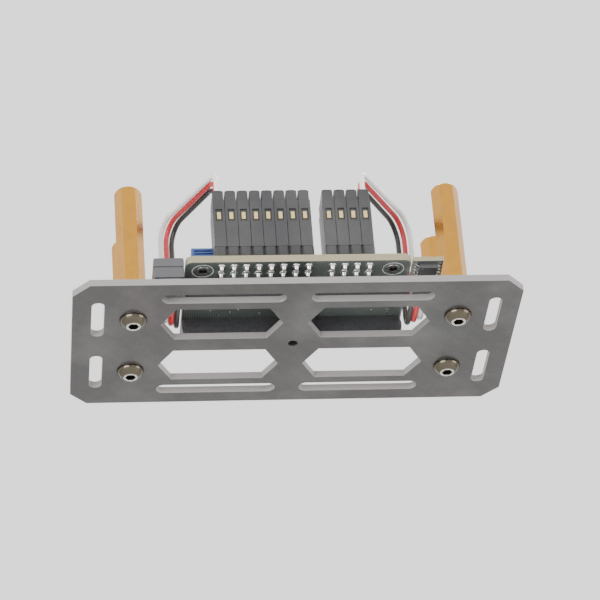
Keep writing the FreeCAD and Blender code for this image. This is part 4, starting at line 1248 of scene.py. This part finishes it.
class BOARD_OT_sockets(bpy.types.Operator):
    """Add the USB shell and tongue, the side sockets and the status module"""
    bl_idname = "board.sockets"
    bl_label = "Sockets"

    def execute(self, context):
        self.add_usb()
        for node, side in (("left_socket", -1), ("right_socket", 1)):
            self.add_side_socket(node, side)
        finish_piece("socket_contacts", node_mesh("socket_pins", 0.04 * MM), ("tin",),
                     ("socket_pins",))
        self.add_status_board()
        self.add_status_plug()
        return {"FINISHED"}

    def add_side_socket(self, node, side):
        """Lead socket: key ribs over its mouth, contact tails at its back, a tab on each flank."""
        low, high = corners(node)
        centre = middle(low, high)
        mouth, back = (high.x, low.x) if side > 0 else (low.x, high.x)
        rib_offset = 1.6 * MM
        contact_step = 1.25 * MM
        part = node_mesh(node, 0.12 * MM)
        for y in (low.y + rib_offset, high.y - rib_offset):
            left, right = sorted((mouth - side * 0.1 * MM, mouth - side * 2.4 * MM))
            add_block(part, Vector((left, y, high.z)) - mm(0, 0.25, 0.1),
                      Vector((right, y, high.z)) + mm(0, 0.25, 0.16), 0.05 * MM)
        for i in range(4):
            root = Vector((back, centre.y + (i - 1.5) * contact_step, low.z))
            add_tab(part, root, (-side, 0, 0), ((-0.1, 0.6), (0.3, 0.35), (0.7, 0.08)), 0.4, 0.15,
                    1)
        for y, lean in ((low.y, -1), (high.y, 1)):
            add_tab(part, (centre.x, y, low.z), (0, lean, 0),
                    ((-0.1, 0.9), (0.25, 0.5), (0.8, 0.08)), 1.2, 0.15, 1)
        finish_piece(node + "_shell", part, ("white_plastic", "tin"), (node,))

    def add_usb(self):
        """Shell with tabs and latch dimples painted as dark patches of shade, and a tongue with five
        contacts.
        """
        low, high = corners("usb_shell")
        part = node_mesh("usb_shell", 0.12 * MM)
        for side, lean in ((low.x, -1), (high.x, 1)):
            for share in (0.3, 0.75):
                add_tab(part, (side, share_of(low.y, high.y, share), low.z), (lean, 0, 0),
                        ((0, 0.9), (0.18, 0.5), (0.45, 0.08)), 0.9, 0.14)
        # Latch dimples: flush dark patches that paint their shade.
        for share in (0.28, 0.72):
            dimple = Vector((share_of(low.x, high.x, share), low.y, high.z)) + mm(0, 2.2, -0.02)
            add_patch(part, dimple, (0.8, 1.4, 0.02), 1)
        finish_piece("usb_case", part, ("tin", "socket_dark"), ("usb_shell",))
        low, high = corners("usb_tongue")
        part = bmesh.new()
        add_block(part, low, high, 0.08 * MM)
        contacts = 5
        for i in range(contacts):
            centre = share_of(low.x, high.x, (i + 0.5) / contacts)
            add_block(part, Vector((centre, low.y, low.z)) + mm(-0.14, 0.6, -0.06),
                      Vector((centre, high.y, low.z)) + mm(0.14, -0.3, 0.02), 0.0, 1)
        finish_piece("usb_contacts", part, ("chip_epoxy", "gold_pin"), ("usb_tongue",))

    def add_status_board(self):
        """Module board with four small parts in an uneven row."""
        low, high = corners("status_board")
        part = node_mesh("status_board", 0.06 * MM)
        mark_walls(part)
        dice = random.Random(3)
        jitter = 0.3
        for i in range(4):
            spot = at_height(low, high.z) + mm(1.2 + i * 1.3, 6.6 + dice.uniform(-jitter, jitter))
            add_patch(part, spot, (0.5, 1.0, 0.4), 2, 0.04 * MM)
        finish_piece("status_panel", part, ("solder_mask", "board_edge", "tin"), ("status_board",),
                     "board")

    def add_status_plug(self):
        """Module connector with three wire mouths drawn as flush dark blocks, painted as their
        shade.
        """
        low, high = corners("status_plug")
        part = bmesh.new()
        add_block(part, low, high, 0.2 * MM)
        for colour in WIRES:
            wire_low, wire_high = corners("lead_right_" + colour)
            spot = Vector((wire_high.x, high.y, wire_low.z)) + mm(-0.55, 0, 0.55)
            # Wire mouths: flush dark blocks that paint the shade of the openings.
            add_block(part, spot - mm(0.56, 0.3, 0.7), spot + mm(0.56, 0, 0.7), 0.06 * MM, 1)
        finish_piece("status_connector", part, ("white_plastic", "header_plastic"),
                     ("status_plug",))


class BOARD_OT_push_buttons(bpy.types.Operator):
    """Add the push buttons: metal cover, solder legs and a domed plunger"""
    bl_idname = "board.push_buttons"
    bl_label = "Push buttons"

    def execute(self, context):
        for name in ("reset", "boot"):
            self.add_switch(name + "_switch")
            self.add_plunger(name + "_plunger", name + "_button")
        return {"FINISHED"}

    def add_switch(self, node):
        low, high = corners(node)
        part = node_mesh(node, 0.1 * MM)
        split = share_of(low.z, high.z, 0.45)
        leg_inset = 0.6 * MM
        for face in part.faces:
            face.material_index = 0 if face.calc_center_median().z > split else 1
        for x, lean in ((low.x, -1), (high.x, 1)):
            for y in (low.y + leg_inset, high.y - leg_inset):
                add_tab(part, (x, y, low.z), (lean, 0, 0), ((-0.1, 0.7), (0.2, 0.4), (0.6, 0.08)),
                        0.6, 0.12, 2)
        finish_piece(node + "_cover", part, ("switch_cover", "header_plastic", "tin"), (node,))

    def add_plunger(self, node, body):
        low, high = corners(node)
        radius = (high.x - low.x) / 2
        tall = high.z - low.z
        dome = 0.16 * MM
        profile = [(0.0, 0.0), (radius, 0.0), (radius, tall - dome)]
        profile += [(radius * math.cos(a), tall - dome + dome * math.sin(a))
                    for a in (math.pi / 8 * i for i in range(1, 4))]
        profile += [(0.0, tall)]
        part = bmesh.new()
        add_lathe(part, profile, at_height(middle(low, high), low.z), 40)
        finish_piece(node + "_dome", part, ("plunger",), (node,), body=body, angle=50.0)


class BOARD_OT_trimmers(bpy.types.Operator):
    """Add the trimmers: housings with solder tabs and dial ticks, and slotted brass rotors"""
    bl_idname = "board.trimmers"
    bl_label = "Trimmers"

    def execute(self, context):
        part = node_mesh("trim_housings", 0.12 * MM, 60.0)
        for low, high in solids_of("trim_housings"):
            self.add_ticks(part, at_height(middle(low, high), high.z))
            self.add_solder_tabs(part, low, high)
        finish_piece("trim_cases", part, ("trim_plastic", "legend_ink", "tin"), ("trim_housings",))
        for letter in "abc":
            softened_node("trim_rotor_" + letter, 0.05 * MM, "rotor_brass", "trimmer_" + letter)
        return {"FINISHED"}

    def add_ticks(self, target, centre):
        """Dots round the rotor, over its range of 260 degrees."""
        ticks = 9
        radius = 1.68 * MM
        for i in range(ticks):
            angle = math.radians(-130 + 260 * i / (ticks - 1))
            out = Vector((math.sin(angle), math.cos(angle), 0))
            add_patch(target, centre + out * radius, (0.1, 0.1, 0.02), 1)

    def add_solder_tabs(self, target, low, high):
        inset = 0.8 * MM
        centre = middle(low, high)
        for x, y, lean in ((centre.x, low.y, -1), (low.x + inset, high.y, 1),
                           (high.x - inset, high.y, 1)):
            add_tab(target, (x, y, low.z), (0, lean, 0), ((-0.1, 0.8), (0.12, 0.5), (0.4, 0.08)),
                    0.7, 0.14, 2)


class BOARD_OT_jumper(bpy.types.Operator):
    """Add the pull-off jumper shunt with its finger grooves painted as flush dark strips of shade"""
    bl_idname = "board.jumper"
    bl_label = "Jumper"

    def execute(self, context):
        part = node_mesh("jumper_shunt", 0.14 * MM)
        low, high = corners("jumper_shunt")
        inset = 0.6 * MM
        # Finger grooves: flush dark strips painted as their shade.
        for i in range(3):
            level = high.z - (0.9 + i * 0.7) * MM
            for y in (low.y, high.y - INK):
                add_block(part, (low.x + inset, y, level),
                          (high.x - inset, y + INK, level + 0.28 * MM), 0.0, 1)
        finish_piece("jumper_cap", part, ("shunt_plastic", "header_plastic"), ("jumper_shunt",),
                     body="jumper")
        return {"FINISHED"}


def long_axis(low, high):
    return 0 if high.x - low.x > high.y - low.y else 1


class BOARD_OT_small_parts(bpy.types.Operator):
    """Add the capacitors, resistors and status lights with their tinned ends"""
    bl_idname = "board.small_parts"
    bl_label = "Small parts"

    def execute(self, context):
        self.add_two_ended("ceramic_caps", "ceramic_cap", 0.24)
        self.add_two_ended("chip_resistors", "resistor", 0.22)
        self.add_lights()
        self.add_tantalums()
        self.add_can()
        self.add_can_foot()
        return {"FINISHED"}

    def add_two_ended(self, node, slot, share):
        """Chip parts: body, tinned ends and the solder lands that show round them."""
        land = 0.2 * MM
        part = bmesh.new()
        for low, high in solids_of(node):
            axis = long_axis(low, high)
            reach = (high[axis] - low[axis]) * share
            add_block(part, low + mm(0.02, 0.02), high - mm(0.02, 0.02, 0.02), 0.03 * MM)
            for start in (low[axis], high[axis] - reach):
                self.add_section(part, low, high, axis, start, start + reach, 0.05 * MM)
            wide_low = low - mm(0.18, 0.18)
            wide_high = at_height(high, low.z) + mm(0.18, 0.18, 0.03)
            for start in (low[axis] - land, high[axis] - reach):
                self.add_section(part, wide_low, wide_high, axis, start, start + reach + land)
        finish_piece(node + "_bodies", part, (slot, "tin"), (node,))

    def add_section(self, target, low, high, axis, start, end, edge=0.0):
        """The part of a block that lies between two places along an axis."""
        section_low, section_high = low.copy(), high.copy()
        section_low[axis], section_high[axis] = start, end
        add_block(target, section_low, section_high, edge, 1)

    def add_lights(self):
        """White base, tinned ends and a clear lens."""
        end = 0.3 * MM
        edge = 0.03 * MM
        part = bmesh.new()
        for low, high in solids_of("status_lights"):
            base = share_of(low.z, high.z, 0.4)
            add_block(part, low, at_height(high, base), edge, 1)
            for start in (low.x, high.x - end):
                add_block(part, (start, low.y, low.z), (start + end, high.y, base + INK), edge, 2)
            add_block(part, (low.x + end, low.y, base), (high.x - end, high.y, high.z), 0.1 * MM,
                      taper=0.06 * MM)
        finish_piece("status_lenses", part, ("light_lens", "white_plastic", "tin"),
                     ("status_lights",))

    def add_tantalums(self):
        """Moulded capacitors with a marked end and wrapped tabs."""
        part = bmesh.new()
        for low, high in solids_of("tantalum_caps"):
            axis = long_axis(low, high)
            add_chip(part, low, high, draft=0.1 * MM, dot=0)
            band_low = at_height(low, high.z) + mm(0.2, 0.2)
            band_high = high - mm(0.2, 0.2, -0.01)
            self.add_section(part, band_low, band_high, axis, band_low[axis],
                             band_low[axis] + 0.7 * MM)
            for end, lean in ((low[axis], -1), (high[axis], 1)):
                root = at_height(middle(low, high), low.z)
                root[axis] = end
                out = Vector((0, 0, 0))
                out[axis] = lean
                add_tab(part, root, out, ((-0.1, 0.9), (0.16, 0.8), (0.16, 0.08), (-0.4, 0.06)),
                        1.7, 0.12, 2)
        finish_piece("tantalum_bodies", part, ("tantalum", "tantalum_band", "tin"),
                     ("tantalum_caps",))

    def add_can(self):
        """Can with a rolled groove, score lines on its top painted as dark strips of shade, and a
        dark band on it.
        """
        low, high = corners("capacitor_can")
        centre = middle(low, high)
        radius = (high.x - low.x) / 2
        tall = high.z - low.z
        bend = 0.4 * MM
        dished = tall - 0.06 * MM
        groove = ((0.94, 0.0), (1.0, 0.15), (1.0, 0.8), (0.93, 1.05), (0.93, 1.2), (1.0, 1.45))
        profile = [(radius * share, height * MM) for share, height in groove]
        profile += [(radius, tall - bend)]
        profile += [(radius - bend + bend * math.cos(a), tall - bend + bend * math.sin(a))
                    for a in (math.pi / 8 * i for i in range(1, 5))]
        profile += [(radius * 0.80, dished), (0.0, dished)]
        part = bmesh.new()
        add_lathe(part, profile, at_height(centre, low.z), 56)
        top = at_height(centre, high.z - 0.05 * MM)
        # Score lines: dark strips painted as the shade in the scores.
        for turn in range(3):
            angle = math.pi / 3 * turn
            along = Vector((math.cos(angle), math.sin(angle), 0)) * radius * 0.62
            add_strip(part, [top - along, top + along], 0.12 * MM, INK,
                      Vector((-along.y, along.x, 0)), 1)
        self.add_band(part, at_height(centre, high.z - 0.04 * MM), radius * 0.78)
        finish_piece("capacitor_case", part, ("can_aluminium", "can_band"), ("capacitor_can",),
                     angle=40.0)

    def add_band(self, target, centre, radius):
        """Dark segment printed on the can's top to mark its negative side."""
        steps = 16
        arc = [math.radians(share_of(130, 230, i / steps)) for i in range(steps + 1)]
        part = bmesh.new()
        part.faces.new([
            part.verts.new(centre + Vector((math.cos(a), math.sin(a), 0)) * radius) for a in arc
        ])
        absorb(target, part, 1)

    def add_can_foot(self):
        """The can's base, with its two far corners cut."""
        low, high = corners("capacitor_can")
        part = node_mesh("capacitor_base")
        uprights = [e for e in part.edges if abs((e.verts[0].co - e.verts[1].co).z) > 0.5 * MM
                    and e.verts[0].co.y > middle(low, high).y]
        bmesh.ops.bevel(part, geom=uprights, offset=0.8 * MM, segments=1, affect="EDGES")
        soft_edges(part, 0.08 * MM, 50.0)
        finish_piece("capacitor_foot", part, ("header_plastic",), ("capacitor_base",))


class BOARD_PT_panel(bpy.types.Panel):
    """Sidebar list of the board's settings and pieces"""
    bl_idname = "BOARD_PT_panel"
    bl_label = "Flight Controller Board"
    bl_space_type = "VIEW_3D"
    bl_region_type = "UI"
    bl_category = "Board"

    def draw(self, context):
        layout = self.layout
        for settings in (context.scene.board_looks, context.scene.board_studio):
            box = layout.box()
            for name in settings.bl_rna.properties.keys():
                if name not in ("rna_type", "name"):
                    box.prop(settings, name)
        column = layout.column(align=True)
        for piece in OPERATORS:
            column.operator(piece.bl_idname)


OPERATORS = (
    BOARD_OT_stage,
    BOARD_OT_carrier_plate,
    BOARD_OT_screws,
    BOARD_OT_standoffs,
    BOARD_OT_pads,
    BOARD_OT_circuit_board,
    BOARD_OT_headers,
    BOARD_OT_plugs,
    BOARD_OT_leads,
    BOARD_OT_receiver,
    BOARD_OT_chips,
    BOARD_OT_metal_cans,
    BOARD_OT_sockets,
    BOARD_OT_push_buttons,
    BOARD_OT_trimmers,
    BOARD_OT_jumper,
    BOARD_OT_small_parts,
)
CLASSES = (BoardLooks, StudioSettings, *OPERATORS, BOARD_PT_panel)


def register():
    for item in CLASSES:
        bpy.utils.register_class(item)
    bpy.types.Scene.board_looks = bpy.props.PointerProperty(type=BoardLooks)
    bpy.types.Scene.board_studio = bpy.props.PointerProperty(type=StudioSettings)


def unregister():
    del bpy.types.Scene.board_studio
    del bpy.types.Scene.board_looks
    for item in reversed(CLASSES):
        bpy.utils.unregister_class(item)


def main():
    """Register the add-on and make every piece in order."""
    register()
    for item in OPERATORS:
        family, piece = item.bl_idname.split(".")
        getattr(getattr(bpy.ops, family), piece)()


if __name__ == "__main__":
    main()
